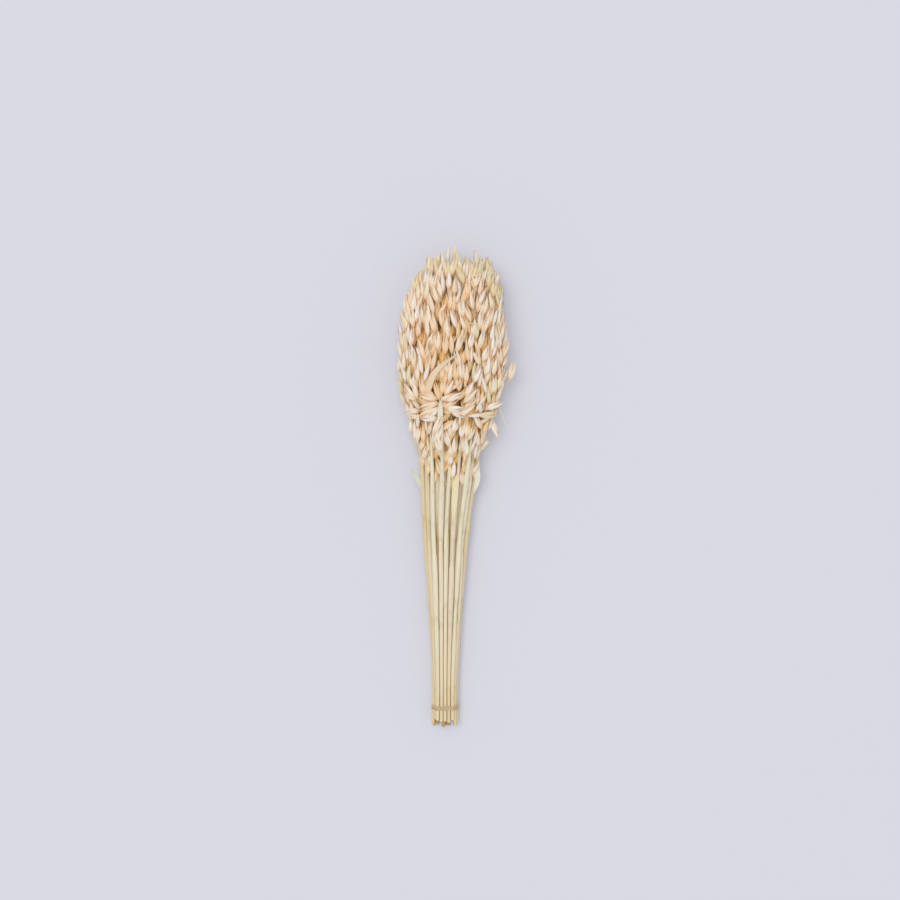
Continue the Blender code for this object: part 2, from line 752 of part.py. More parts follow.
def main():
    for old in list(bpy.data.objects):
        bpy.data.objects.remove(old)
    bundle = bpy.data.collections.new("oat_bundle")
    bpy.context.scene.collection.children.link(bundle)
    straw = plain_material("straw", (0.78, 0.66, 0.46), 0.6)
    rubber = plain_material("rubber", (0.62, 0.47, 0.28), 0.55)
    stalks = lay_out()
    made = [build_stalk(stalk, bundle, straw) for stalk in stalks]
    made.append(build_band(stalks, bundle, rubber))
    rest_on_origin(made)


if __name__ == "__main__":
    main()
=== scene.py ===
"""The looks of a bundle of dried oats that lies on a pale table: oat stalks held by an elastic band.

Metres, +Z up. The stalks are laid out as the solids are, with x = 0 7 mm beside the bound stems and
y = 0 16 mm above the band, and each piece is then moved into the frame's own place.
"""

import bisect
import math
import random

import bpy
import numpy as np
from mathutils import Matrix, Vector

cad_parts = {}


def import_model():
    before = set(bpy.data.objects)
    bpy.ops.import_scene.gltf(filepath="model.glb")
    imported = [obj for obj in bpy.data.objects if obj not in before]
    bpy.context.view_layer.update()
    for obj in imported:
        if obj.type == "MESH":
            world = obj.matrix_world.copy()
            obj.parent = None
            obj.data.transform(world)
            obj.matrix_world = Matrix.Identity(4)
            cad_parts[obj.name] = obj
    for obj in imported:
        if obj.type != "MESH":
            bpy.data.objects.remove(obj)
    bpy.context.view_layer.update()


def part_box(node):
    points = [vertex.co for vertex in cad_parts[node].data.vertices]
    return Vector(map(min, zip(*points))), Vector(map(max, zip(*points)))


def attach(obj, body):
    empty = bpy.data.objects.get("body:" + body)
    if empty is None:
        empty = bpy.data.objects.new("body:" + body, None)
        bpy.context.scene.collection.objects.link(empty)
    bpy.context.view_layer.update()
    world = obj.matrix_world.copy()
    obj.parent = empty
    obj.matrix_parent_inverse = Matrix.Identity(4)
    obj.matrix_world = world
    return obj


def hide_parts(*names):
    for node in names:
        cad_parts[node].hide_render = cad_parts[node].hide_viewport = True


class Profile:
    """A smooth curve through (place, value) stations."""

    def __init__(self, *stations):
        self.places, self.values = zip(*stations)
        self.slopes = np.gradient(self.values, self.places).tolist()

    def __call__(self, place):
        place = min(max(place, self.places[0]), self.places[-1])
        i = min(max(bisect.bisect(self.places, place) - 1, 0), len(self.places) - 2)
        span = self.places[i + 1] - self.places[i]
        t = (place - self.places[i]) / span
        low, high = self.values[i], self.values[i + 1]
        bend = self.slopes[i] * (1 - t) - self.slopes[i + 1] * t
        return low + (high - low) * t * t * (3 - 2 * t) + span * t * (1 - t) * bend


SEED = 7

# Stems, where the band binds them: rows of a close packing, from the lowest row up
STALKS_IN_ROW = (5, 6, 7, 6, 5)
CULM_PITCH = 0.0052
ROW_RISE = CULM_PITCH * math.sqrt(3) / 2
CULM_RADIUS = Profile(
    (-0.045, 0.00245), (-0.016, 0.00245), (0.140, 0.00285), (0.252, 0.00290), (0.310, 0.00220),
    (0.420, 0.00125), (0.640, 0.00070),
)
CUT_END = -0.038
CUT_END_SCATTER = 0.006

# The band, which lies on the table, and how far the stems' middle is then above it
BAND_Y = -0.016
BAND_WIDTH = 0.0060
BAND_THICKNESS = 0.0013
BAND_GAP = 0.0003
BAND_DIRECTIONS = 24
BOUND_SPREAD_X = 3 * CULM_PITCH
BOUND_SPREAD_Z = 2 * ROW_RISE
BAND_HALF_STEP = math.pi / BAND_DIRECTIONS
BAND_REACH = (CULM_RADIUS(BAND_Y) + BAND_GAP) * math.cos(BAND_HALF_STEP) + BAND_THICKNESS
BOUND_MIDDLE_Z = BOUND_SPREAD_Z + BAND_REACH

# The bundle's middle line, and how far the packing is spread from it, each by the place along Y
MIDDLE_X = Profile(
    (-0.045, -0.0070), (0.140, -0.0065), (0.252, -0.0056), (0.319, -0.0020), (0.476, 0.0035),
    (0.640, 0.0060),
)
MIDDLE_Z = Profile(
    (-0.045, BOUND_MIDDLE_Z + 0.0001), (BAND_Y, BOUND_MIDDLE_Z), (0.140, 0.0160), (0.252, 0.0205),
    (0.319, 0.0270), (0.386, 0.0360), (0.454, 0.0430), (0.640, 0.0460),
)
SPREAD_X = Profile(
    (-0.045, 0.0163), (BAND_Y, BOUND_SPREAD_X), (0.140, 0.0205), (0.252, 0.0282), (0.319, 0.0350),
    (0.386, 0.0430), (0.476, 0.0530), (0.640, 0.0540),
)
SPREAD_Z = Profile(
    (-0.045, 0.0094), (BAND_Y, BOUND_SPREAD_Z), (0.140, 0.0122), (0.252, 0.0160), (0.319, 0.0175),
    (0.386, 0.0195), (0.454, 0.0220), (0.640, 0.0235),
)

# How far a stem strays from its place, and the places along Y where its straight lengths meet
STRAY = 0.0035
LEAST_STRAY = 0.3
STRAY_DRAWS = 24
STEM_GAP = 0.00025
STEM_STATIONS = (BAND_Y, 0.140, 0.252, 0.319, 0.390, 0.470, 0.550)
STEM_LAST_LENGTH = 0.020
STEM_INTO_SPIKELET = 0.004

# The head's outside, from the lowest spikelets to the tips
HEAD_HALF_WIDTH = Profile(
    (0.286, 0.0343), (0.319, 0.0406), (0.353, 0.0480), (0.386, 0.0588), (0.420, 0.0690),
    (0.454, 0.0756), (0.476, 0.0777), (0.532, 0.0730), (0.566, 0.0700), (0.588, 0.0620),
    (0.612, 0.0480), (0.640, 0.0080),
)
WIDEST = max(HEAD_HALF_WIDTH.values)
HEAD_FLATNESS = 0.57
HEAD_LEAN = 0.008
HEAD_LEAN_FROM, HEAD_LEAN_TO = 0.56, 0.61
HEAD_MARGIN, HEAD_ABOVE = 0.0015, 0.0020
HEAD_LOWEST = 0.300
HEAD_TOP = 0.640

# Panicles. Those in the bundle's middle end highest, and those at its edge are staggered most
PANICLE_LENGTH = 0.255
PANICLE_LENGTH_SHARES = (0.92, 1.08)
PANICLE_BELOW_HEAD = 0.012
PANICLE_STAGGER = 0.135
STAGGER_STEP = 0.618
STAGGER_IN_MIDDLE = 0.05
EDGE_REACH = 1.2
EDGE_DROP = 0.040
WHORL_SPACING = 0.032

# Branches: the least rise to a spikelet's root, alone and for each metre aside, and the longest branch
BRANCH_RADIUS = 0.00055
BRANCH_RISE = 0.007
BRANCH_STEEPNESS = 1.2
LONGEST_BRANCH = 0.075
BEARER_BELOW = 0.012
NEAR_STALKS = 5

# Spikelets: their size, and their shape by shares of their length
SPIKELET_LENGTH = 0.0275
SPIKELET_LENGTH_SHARES = (0.9, 1.06)
SPIKELET_WIDTH = 0.0088
SPIKELET_DEPTH = 0.0054
SIDES = (-SPIKELET_WIDTH / 2, SPIKELET_WIDTH / 2)
GLUME_ROD = ((0.41, 0.22), (0.27, 0.80))
GLUME_ROD_RADIUS, BODY_ROD_RADIUS = 0.5 * SPIKELET_DEPTH, 0.42 * SPIKELET_DEPTH

# How spikelets are strewn: the mean and spread of their lean outwards, and the spreads of their lean
# sideways and of their twist, in radians
LEAN_OUT = (0.14, 0.12)
LEAN_ASIDE = (0, 0.19)
TWIST = (0, 0.5)
CLOSED_SHARE = 0.5
NARROW_HEAD_SHARE = 0.3
LOWEST_SPIKELET = 0.008
MIDDLE_SHARE = 0.45
FLOOR_GAP = 0.0015
MOST_SPIKELETS = 24
FEW_FIRST = 0.0016
LAYERS = ((1.00, 300), (0.86, 122), (0.70, 74), (0.50, 36))
DRAWS = 40
CLEARANCE = 0.0004

# A belt across the head's upper side where spikelets point outwards, by as much as this for each metre
# along, and how far along Y it reaches from its middle
BELT_LEAN = 1.8
BELT_Y, BELT_REACH = 0.400, 0.022

# The stalk that lies on top of the head, and the whorl at which its spikelets fan out sideways
CROWN_STALK = 26
CROWN_LIFT = Profile(
    (0.200, 0.0), (0.300, 0.0070), (0.400, 0.0160), (0.420, 0.0125), (0.440, 0.0040), (0.480, 0.0),
)
CROWN_WHORL = Vector((-0.017, 0.417, 0.074))
CROWN_FAN = (
    (228, -0.003, 0.85), (200, -0.009, 0.95), (186, -0.022, 0.80), (168, 0.002, 0.90),
    (84, 0.004, 0.85), (52, 0.003, 0.90), (27, -0.003, 1.00), (6, -0.012, 0.80),
)
CROWN_ROOT = 0.0065
CROWN_RISES = (0.20, 0.13)
CROWN_BRANCH_DROP = 0.004
CROWN_INNER, CROWN_OUTER, CROWN_PULL = 0.012, 0.045, 0.85

# The spikelets that stand out from the head's sides: their root, and the way that they point
STRAYS = (
    ((0.0835, 0.4475, 0.0400), (0.24, 1.0, 0.05)),
    ((-0.0420, 0.4050, 0.0600), (-1.0, -0.10, -0.45)),
    ((0.0400, 0.3980, 0.0620), (1.0, 0.02, -0.50)),
    ((0.0580, 0.3920, 0.0440), (0.40, -1.0, -0.15)),
)

# How far the spikelet at a stalk's end is turned from that of the stalk before it, in radians
END_TURN = 0.7

# Leaves: the stalk that each grows on, where on its stem, the blade's way from there, and its width
LEAF_STEPS = 7
LEAF_ROD_SHARE = 0.42
LEAF_OUTLINE = Profile((0, 0.18), (0.2, 0.38), (0.5, 0.5), (0.8, 0.36), (1, 0.07))
UPWARD = Vector((0, 0, 1))
STRAP = (
    (-0.034, 0.404, 0.0650), (-0.031, 0.432, 0.0730), (-0.018, 0.459, 0.0870), (0.010, 0.481, 0.0905),
)
HANGING = ((0.0385, 0.322, 0.0330), (0.0385, 0.306, 0.0330), (0.0325, 0.287, 0.0320))
SMALL = ((-0.0420, 0.301, 0.0280), (-0.0490, 0.313, 0.0310), (-0.0550, 0.3235, 0.0330))
DOWN_THE_STEMS = ((0.0080, 0.302, 0.0500), (0.0060, 0.276, 0.0465), (0.0040, 0.243, 0.0420))
LEAVES = (
    (25, 0.375, STRAP, 0.0068),
    (18, 0.336, HANGING, 0.0078),
    (12, 0.288, SMALL, 0.0046),
    (28, 0.318, DOWN_THE_STEMS, 0.0060),
)

# Spikelets that only the looks have. The first ones cover the top stalk's stem and two gaps: their root,
# the way that they point, and whether they are closed. For each layer of the others: its depth in the
# head, how many to try, how far up the head, and whether they are slim, and so lean more to the side
COVERS = (
    ((-0.0195, 0.3610, 0.0715), (0.30, 1.0, 0.16), False),
    ((-0.0120, 0.3470, 0.0680), (-0.35, 1.0, 0.18), True),
    ((-0.0230, 0.3720, 0.0755), (0.50, 1.0, 0.10), True),
    ((-0.0050, 0.5180, 0.0790), (0.06, 1.0, 0.06), False),
    ((-0.0085, 0.4400, 0.0780), (0.20, 1.0, 0.06), True),
)
FILL_LAYERS = (
    (1.00, 430, HEAD_TOP, False),
    (0.93, 460, HEAD_TOP, False),
    (0.90, 160, 0.450, False),
    (0.84, 280, HEAD_TOP, False),
    (0.66, 110, HEAD_TOP, False),
    (1.03, 300, HEAD_TOP, True),
    (1.04, 150, 0.405, True),
    (0.95, 160, HEAD_TOP, True),
)
FILL_DEPTHS = (0.96, 1.0)
FILL_DRAWS, FILL_MOST = 10, 44
FILL_CLEARANCE, SLIM_CLEARANCE = -0.0030, -0.0018
FILL_LEAN, SLIM_LEAN = 0.12, 0.38
BELT_MESS, MESS_REACH = 0.50, 0.030
SLIM_WIDTHS, SLIM_LENGTHS = (0.34, 0.60), (0.62, 0.95)

# Kinds of material on a stalk, in the order of its slots
HUSK, FLORET, STRAW, LEAF = range(4)
SHARP_ANGLE = math.radians(62)

# Glumes: how they swell from the root and taper, the least width of that, their stations along and
# across, and their sizes. The second glume of a spikelet is the shorter one
HUSK_SWELL, HUSK_TAPER = 0.80, 1.00
HUSK_ROOT, HUSK_LEAST = 0.02, 0.03
GLUME_THICKNESS = 0.00022
GLUME_ALONG = np.array((0, 0.06, 0.16, 0.30, 0.46, 0.62, 0.77, 0.90, 1))
GLUME_ACROSS = np.linspace(-1, 1, 8)
GLUME_SIZES = {1: 1.05, -1: 0.96}
SECOND_GLUMES = (0.84, 0.99)
HUSK_WIDTHS, HUSK_LENGTHS = (0.80, 1.08), (0.96, 1.15)

# How far apart two glumes' tips are: closed, open, and the few wide open ones. They part from a share
# of their length on, by a power of the rest
HUSK_CLOSED_GAPE = 0.0006
HUSK_GAPES = (0.0008, 0.0036)
WIDE_OPEN_SHARE, WIDE_GAPES = 0.05, (0.0050, 0.0090)
OPENS_AT, OPENS_SLOWLY = 0.22, 1.7

# How much glumes bend and twist, how far they wrap round, in radians, and how much less at the tip,
# their keel, the flare and the waves of their edges, and how far the tip is drawn in and strays
HUSK_BEND, HUSK_TWIST = 0.045, 0.45
WRAP, UNWRAP = 1.78, 0.75
KEEL, FLARE, WAVE = 0.10, 0.22, 0.05
WAVES_ALONG, WAVES_ACROSS, PHASES = 9, 5, (0, 6)
DRAWN_IN, TIP_STRAY = 0.12, 0.0006

# Florets: their stations, section and width, where they start and their lengths by the husks', and the
# gape from which two show, each to one side, more so towards its tip
FLORET_ALONG = np.array((0, 0.12, 0.35, 0.62, 0.85, 1))
FLORET_SIDES, FLORET_FLATNESS, FLORET_WIDTH = 6, 0.85, 0.0030
FLORET_ROOT, FLORET_LENGTHS = 0.05, (0.68, 0.80)
FLORETS_SHOW, FLORETS_ASIDE, FLORETS_PART = 0.0020, (-0.0009, 0.0009), 0.6

# Awns and branches, which leave the stem upwards and arrive the way that the spikelet points
HAIR_SIDES = 4
AWN_SHARE, AWN_ROOT = 0.05, 0.45
AWN_REACHES, AWN_SWAY, AWN_STATIONS = (0.020, 0.032), 0.10, 8
AWN_RADIUS, AWN_FOOT = 0.00018, 1.15
BRANCH_STATIONS, BRANCH_SWAY = 6, 0.05
BRANCH_LEAVING, BRANCH_ARRIVING, BRANCH_FACING = 0.4, 0.3, (0.3, 0, 1)
BRANCH_SHARES, BRANCH_RADII = (0, 0.25, 0.85, 1), (0.00055, 0.00036, 0.00034, 0.00058)
TABLE_GAP = 0.0002

# Painted shade deep in the head: the depth at which things start to brown, how much deeper they are all
# brown, and how far below the head's top the depth could first be 1
SHALLOW = 0.03
HUSK_BROWNS, STEM_BROWNS, BRANCH_BROWNS = 0.15, 0.25, 0.30
TOP_REACH = 0.8

# Stems: their joints, which swell and are stained, and the sheaths above them, looser halfway up
CULM_SIDES, CULM_STATIONS = 22, 140
JOINTS, JOINT_SCATTER = (0.004, 0.118, 0.238), 0.016
JOINT_SWELLS, JOINT_REACH, JOINT_STAIN = 0.14, 0.0026, 0.0040
SHEATH_LENGTHS, SHEATH_THICKNESSES = (0.085, 0.118), (0.0010, 0.0022)
SHEATH_STARTS, SHEATH_ENDS = 0.004, 0.003
SHEATH_TIGHT, SHEATH_SEAM, SEAM_SLANT = 0.35, 0.45, 6

# How oval stems are and how far above the band they get so, the least share of their radius that they
# keep where pressed, half their gap to the next, how near it has to be to get painted shade, and their cut
# end
OVALS, FREE_ABOVE_BAND = (0.04, 0.16), 0.12
LEAST_CULM, STEMS_APART, LEAST_TOWARDS = 0.8, 0.00012, 0.05
PRESSED_FROM, PRESSED_REACH = 0.0010, 0.0012
MOUTH, HOLLOW, HOLLOW_DEPTH = 0.60, 0.55, 0.006

# How brown a stem is at its joints, how much painted shade it gets deep in the head, how much less painted
# shade its pressed sides get above the neck, and where along Y the neck and the low head begin
JOINT_BROWN, DEEP_SHADE, PRESSED_PALES = 0.20, 0.7, 0.6
NECK, LOW_HEAD = (0.22, 0.27), (0.32, 0.38)

# The stems that show, by stalk: their colour, from yellow at 0 over tan, pink and cream to green at 1,
# and how brown they are all over. The others take any colour, and get painted shade where they lie inside
STEM_LOOKS = {
    12: (0.05, 0.0), 18: (0.02, 0.0), 19: (0.20, 0.0), 20: (0.60, 0.9), 21: (0.30, 0.3),
    22: (0.05, 1.0), 23: (0.42, 0.35), 24: (0.80, 0.0), 25: (0.85, 0.0), 26: (0.66, 0.0),
    27: (0.88, 0.0), 28: (0.40, 0.0), 29: (0.92, 0.0),
}
INNER_PACKING, INNER_SHADE = 0.8, 0.7

# Leaves, in the order of LEAVES: their colours, and how much wider than the solids they are drawn
LEAF_TONES = (0.0, 0.9, 0.75, 0.4)
LEAF_WIDER = (1.3, 1.0, 1.0, 1.4)
LEAF_ROWS, LEAF_COLUMNS, LEAF_SHEET_THICKNESS = 30, 9, 0.0005
LEAF_FOLD, LEAF_SINK = 0.16, 0.05
RIPPLE, RIPPLES = 0.0004, 22

# The band's strands, which sway a little along their way round
BAND_STATIONS, STRAND_SIDES = 120, 12
STRANDS = 3
STRAND_WIDTH = BAND_WIDTH / STRANDS
STRAND_WIDE, STRAND_DEEP = 0.97, 0.9
STRAND_SWAY, STRAND_PHASE = 0.0002, 2.1

# The photograph's frame: the place at its middle, at the height of the head's middle, and its width there
PHOTO_CENTRE = (0.0, 0.350, 0.045)
PHOTO_SPAN = 1.26
LENS, SENSOR = 50.0, 36.0

# Colours of spikelets, by numbers that the husks' colours follow: up to WHITEST they go from peach to
# white, and above it the odd ones from straw to green, of which there are more in the head's top
WHITEST = 0.85
ODD_SHARE, ODD_AT_TOP, ODD_TOP = 0.09, 0.32, (0.560, 0.620)
ODD_TONES, STRAW_YELLOW = (0.90, 1.0), 0.92
TONE_SPREAD, AGE_SPREAD = 0.06, 0.12

# Where the head is whiter or, below 0, peachier: the place, how far that reaches, and by how much
TINTS = (
    ((-0.014, 0.482), (0.024, 0.050), -0.40),
    ((0.056, 0.465), (0.024, 0.110), 0.36),
    ((0.042, 0.375), (0.020, 0.040), 0.30),
    ((-0.060, 0.450), (0.022, 0.060), 0.36),
    ((-0.044, 0.560), (0.018, 0.035), 0.25),
    ((-0.042, 0.335), (0.014, 0.030), 0.30),
    ((0.000, 0.595), (0.080, 0.038), 0.18),
    ((0.004, 0.335), (0.045, 0.030), 0.22),
    ((0.010, 0.390), (0.060, 0.025), 0.10),
)

# Where the head is greener, and how far round each place
GREEN_PLACES = ((0.042, 0.604), (0.060, 0.566), (0.002, 0.598))
GREEN_REACH = 0.013

# A wide pale sheath round the top stalk's stem, below its whorl
SHEATH_WAY = ((-0.0134, 0.392, 0.0765), (-0.0132, 0.405, 0.0788), (-0.0130, 0.419, 0.0800))
WIDE_SHEATH, SHEATH_TONE = (0.380, SHEATH_WAY, 0.0072), 0.7

# Broken straws that lie on the head: the stalk that each belongs to, its two ends, and how far it sags
BITS = (
    (27, (0.026, 0.523), (0.047, 0.521), 0.0),
    (28, (0.030, 0.588), (0.064, 0.596), 0.0),
    (24, (0.064, 0.424), (0.083, 0.372), 0.004),
    (26, (-0.036, 0.476), (-0.022, 0.489), 0.0),
)
BIT_STATIONS, BIT_SIDES, BITS_ABOVE = 7, 6, 0.0045
BIT_RADIUS, BIT_FOOT, BIT_TAPER = 0.00055, 1.1, 0.6

# Light
TABLE_SIZE = 6.0
SUN_PLACE = (-0.18, 0.14, 1.0)
SUN_ANGLE = math.radians(45)
SUN_POWER = 1.8
SUN_COLOUR = (1.0, 0.98, 0.95)
SKY_COLOUR = (1.0, 1.0, 1.0)
SKY_STRENGTH = 0.72
EXPOSURE, GAMMA = -0.38, 1.38
DIFFUSE_BOUNCES = 12


def smooth_step(low, high, value):
    t = min(max((value - low) / (high - low), 0.0), 1.0)
    return t * t * (3 - 2 * t)


def each(function, places):
    return np.array([function(place) for place in places])


def rod_distances(start, end, starts, ends):
    """How far the segment from start to end lies from each of many segments."""
    along, others, between = end - start, ends - starts, start - starts
    a, e = along @ along, (others * others).sum(1)
    b, c, f = others @ along, between @ along, (others * between).sum(1)
    spread = np.maximum(a * e - b * b, 1e-18)
    s = np.clip((b * f - c * e) / spread, 0, 1)
    t = np.clip((b * s + f) / e, 0, 1)
    s = np.clip((b * t - c) / a, 0, 1)
    gaps = start + s[:, None] * along - starts - t[:, None] * others
    return np.sqrt((gaps * gaps).sum(1))


class Crowd:
    """What has been placed so far, as rods with round ends, so that no stalk grows through another."""

    MOST = 12000
    FAR = 0.012
    STEM, BRANCH, BODY = range(3)

    def __init__(self):
        self.starts, self.ends = np.zeros((self.MOST, 3)), np.ones((self.MOST, 3))
        self.lows, self.highs = np.zeros((self.MOST, 3)), np.zeros((self.MOST, 3))
        self.radii, self.owners = np.zeros(self.MOST), np.zeros(self.MOST, int)
        self.kinds = np.zeros(self.MOST, int)
        self.count = 0

    def add(self, rods, owner, kind):
        for start, end, radius in rods:
            i = self.count
            self.starts[i], self.ends[i] = start, end
            self.lows[i], self.highs[i] = np.minimum(start, end) - radius, np.maximum(start, end) + radius
            self.radii[i], self.owners[i], self.kinds[i] = radius, owner, kind
            self.count += 1

    def room(self, rods, owner, grown_from):
        """The gap from the rods to the nearest one placed, FAR at most, leaving out the kinds of
        its own stalk that it may grow from."""
        n = self.count
        points = np.array([point for rod in rods for point in rod[:2]])
        reach = self.FAR + max(rod[2] for rod in rods)
        low, high = points.min(0) - reach, points.max(0) + reach
        near = (self.lows[:n] < high).all(1) & (self.highs[:n] > low).all(1)
        near = np.flatnonzero(near & ((self.owners[:n] != owner) | ~np.isin(self.kinds[:n], grown_from)))
        gap = self.FAR
        for start, end, radius in rods:
            gaps = rod_distances(np.array(start), np.array(end), self.starts[near], self.ends[near])
            gap = min(gap, (gaps - self.radii[near] - radius).min(initial=self.FAR))
        return gap


class Stalk:
    """One oat stalk: its line through the bundle, and the panicle's two ends."""

    def __init__(self, number, u, v, draw):
        self.number, self.u, self.v = number, u, v
        edge = min(math.hypot(u, v) / EDGE_REACH, 1.0)
        turn, far = draw.uniform(0, math.tau), draw.uniform(LEAST_STRAY, 1.0) * STRAY
        self.stray = (far * math.cos(turn), far * math.sin(turn))
        staggered = STAGGER_IN_MIDDLE + (1 - STAGGER_IN_MIDDLE) * edge
        stagger = PANICLE_STAGGER * (number * STAGGER_STEP % 1) * staggered
        self.top = HEAD_TOP - EDGE_DROP * edge**2 - stagger
        length = PANICLE_LENGTH * draw.uniform(*PANICLE_LENGTH_SHARES)
        self.neck = max(self.top - length, HEAD_LOWEST - PANICLE_BELOW_HEAD)
        self.foot = CUT_END + CUT_END_SCATTER * draw.uniform(-1, 1)
        self.spikelets, self.leaves = [], []

    def stations(self):
        """Where along Y the stem's straight lengths meet."""
        end = self.top - SPIKELET_LENGTH + STEM_INTO_SPIKELET
        return [self.foot, *(y for y in STEM_STATIONS if y < end - STEM_LAST_LENGTH), end]

    def rods(self):
        line = [self.point(y) for y in self.stations()]
        return [(start, end, CULM_RADIUS(start.y)) for start, end in zip(line, line[1:])]

    def on_stem(self, y):
        """The middle of the stem, which runs straight from station to station."""
        for start, end, _ in self.rods():
            if y <= end.y:
                break
        return start.lerp(end, (y - start.y) / (end.y - start.y))

    def point(self, y):
        loose = smooth_step(BAND_Y, HEAD_LOWEST, y)
        lift = CROWN_LIFT(y) if self.number == CROWN_STALK else 0
        x = MIDDLE_X(y) + self.u * SPREAD_X(y) + loose * self.stray[0]
        z = MIDDLE_Z(y) + self.v * SPREAD_Z(y) + loose * self.stray[1] + lift
        return Vector((x, y, z))

    def whorl_below(self, root):
        """The highest whorl from which a branch can rise to a spikelet's root, or None."""
        found = None
        count = int((self.top - self.neck) / WHORL_SPACING)
        for k in range(count + 1):
            start = self.on_stem(self.neck + k * WHORL_SPACING)
            aside = math.hypot(root.x - start.x, root.z - start.z)
            least = max(BRANCH_RISE, BRANCH_STEEPNESS * aside)
            if root.y - start.y > least:
                found = start
        return found


class Spikelet:
    """A spikelet: where its root is, where it points, and which way its broad side runs."""

    def __init__(self, root, direction, facing, length, closed):
        self.root, self.direction, self.length, self.closed = root, direction, length, closed
        self.side = direction.cross(facing).normalized()
        self.start, self.slimness = None, 1.0

    def place(self, across, share):
        return self.root + self.side * across + self.direction * (self.length * share)

    def tip(self):
        return self.place(0, 1)

    def rods(self):
        """The rods that enclose it: one for each glume, and one for the whole length."""
        (low, low_share), (high, high_share) = GLUME_ROD
        glumes = [(self.place(low * w, low_share), self.place(high * w, high_share)) for w in SIDES]
        body = (self.place(0, 0), self.place(0, 1), BODY_ROD_RADIUS)
        return [*((start, end, GLUME_ROD_RADIUS) for start, end in glumes), body]

    def branch(self):
        return [(self.start, self.root, BRANCH_RADIUS)] if self.start else []


class Leaf:
    """A flat blade that leaves the stem and tapers to a point."""

    def __init__(self, stalk, height, way, width):
        places = [stalk.on_stem(height), *(Vector(place) for place in way)]
        shares = [i / (len(places) - 1) for i in range(len(places))]
        self.ways = [Profile(*zip(shares, values)) for values in zip(*places)]
        self.width = width

    def place(self, share):
        return Vector(way(share) for way in self.ways)

    def line(self, steps):
        return [self.place(i / steps) for i in range(steps + 1)]

    def half_width(self, share):
        return self.width * LEAF_OUTLINE(share)

    def rods(self):
        line = self.line(LEAF_STEPS)
        return [(start, end, LEAF_ROD_SHARE * self.width) for start, end in zip(line, line[1:])]


def make_stalks(draw, crowd):
    """The stalks' stems, each drawn anew until it strays clear of those before it."""
    stalks = []
    for row, count in enumerate(STALKS_IN_ROW):
        v = (row - 2) / 2
        for k in range(count):
            u = (k - (count - 1) / 2) / 3
            for _ in range(STRAY_DRAWS):
                stalk = Stalk(len(stalks) + 1, u, v, draw)
                if crowd.room(stalk.rods(), stalk.number, ()) > STEM_GAP:
                    break
            stalks.append(stalk)
            crowd.add(stalk.rods(), stalk.number, Crowd.STEM)
    return stalks


def head_centre(y):
    return MIDDLE_X(y) + HEAD_LEAN * smooth_step(HEAD_LEAN_FROM, HEAD_LEAN_TO, y), MIDDLE_Z(y)


def inside_head(point):
    if not HEAD_LOWEST < point.y < HEAD_TOP + HEAD_ABOVE:
        return False
    x, z = head_centre(point.y)
    wide = HEAD_HALF_WIDTH(point.y) + HEAD_MARGIN
    return math.hypot((point.x - x) / wide, (point.z - z) / (HEAD_FLATNESS * wide)) < 1


def draw_spikelet(draw, depth):
    """A spikelet somewhere in the head, at a depth that is 1 at its outside, or None."""
    y = draw.uniform(HEAD_LOWEST + LOWEST_SPIKELET, HEAD_TOP)
    wide = HEAD_HALF_WIDTH(y)
    turn, lean, aside = draw.uniform(0, math.tau), draw.gauss(*LEAN_OUT), draw.gauss(*LEAN_ASIDE)
    twist, length = draw.gauss(*TWIST), SPIKELET_LENGTH * draw.uniform(*SPIKELET_LENGTH_SHARES)
    closed = draw.random() < CLOSED_SHARE
    if draw.random() > NARROW_HEAD_SHARE + (1 - NARROW_HEAD_SHARE) * wide / WIDEST:
        return None
    x, z = head_centre(y)
    reach = (wide - SPIKELET_WIDTH / 2) * depth
    middle = Vector((x + reach * math.cos(turn), y, z + reach * HEAD_FLATNESS * math.sin(turn)))
    out = Vector((math.cos(turn) * HEAD_FLATNESS, 0, math.sin(turn))).normalized()
    around = Vector((-out.z, 0, out.x))
    in_belt = max(math.sin(turn), 0) * math.exp(-(((y - BELT_Y) / BELT_REACH) ** 2))
    outwards = math.copysign(BELT_LEAN * draw.random() * in_belt, math.cos(turn))
    direction = (Vector((outwards, 1, 0)) + out * lean + around * aside).normalized()
    from_whorl = middle - CROWN_WHORL
    fanned = 1 - smooth_step(CROWN_INNER, CROWN_OUTER, from_whorl.length)
    direction = direction.lerp(from_whorl.normalized(), CROWN_PULL * fanned).normalized()
    if middle.z < SPIKELET_DEPTH / 2 + FLOOR_GAP:
        middle.z = SPIKELET_DEPTH / 2
        direction = Vector((direction.x, direction.y, 0)).normalized()
        out, twist = -UPWARD, 0
    facing = out * math.cos(twist) + around * math.sin(twist)
    spikelet = Spikelet(middle - direction * (MIDDLE_SHARE * length), direction, facing, length, closed)
    return spikelet if inside_head(spikelet.tip()) else None


def placed_spikelet(root, way, closed):
    return Spikelet(Vector(root), Vector(way).normalized(), UPWARD, SPIKELET_LENGTH, closed)


def bearer(spikelet, stalks, most=MOST_SPIKELETS):
    """A near stalk that can carry the spikelet, sooner one with few. It sets where the branch starts."""
    root = spikelet.root

    def cost(stalk):
        return (stalk.point(root.y - BEARER_BELOW) - root).length + FEW_FIRST * len(stalk.spikelets)

    for stalk in sorted(stalks, key=cost)[:NEAR_STALKS]:
        if len(stalk.spikelets) >= most or not stalk.neck < root.y < stalk.top:
            continue
        spikelet.start = stalk.whorl_below(root)
        if spikelet.start and (spikelet.start - root).length < LONGEST_BRANCH:
            return stalk
    return None


def room_for(spikelet, stalk, crowd):
    body = crowd.room(spikelet.rods(), stalk.number, (Crowd.BRANCH,))
    if body < CLEARANCE:
        return body
    return min(body, crowd.room(spikelet.branch(), stalk.number, (Crowd.STEM, Crowd.BRANCH)))


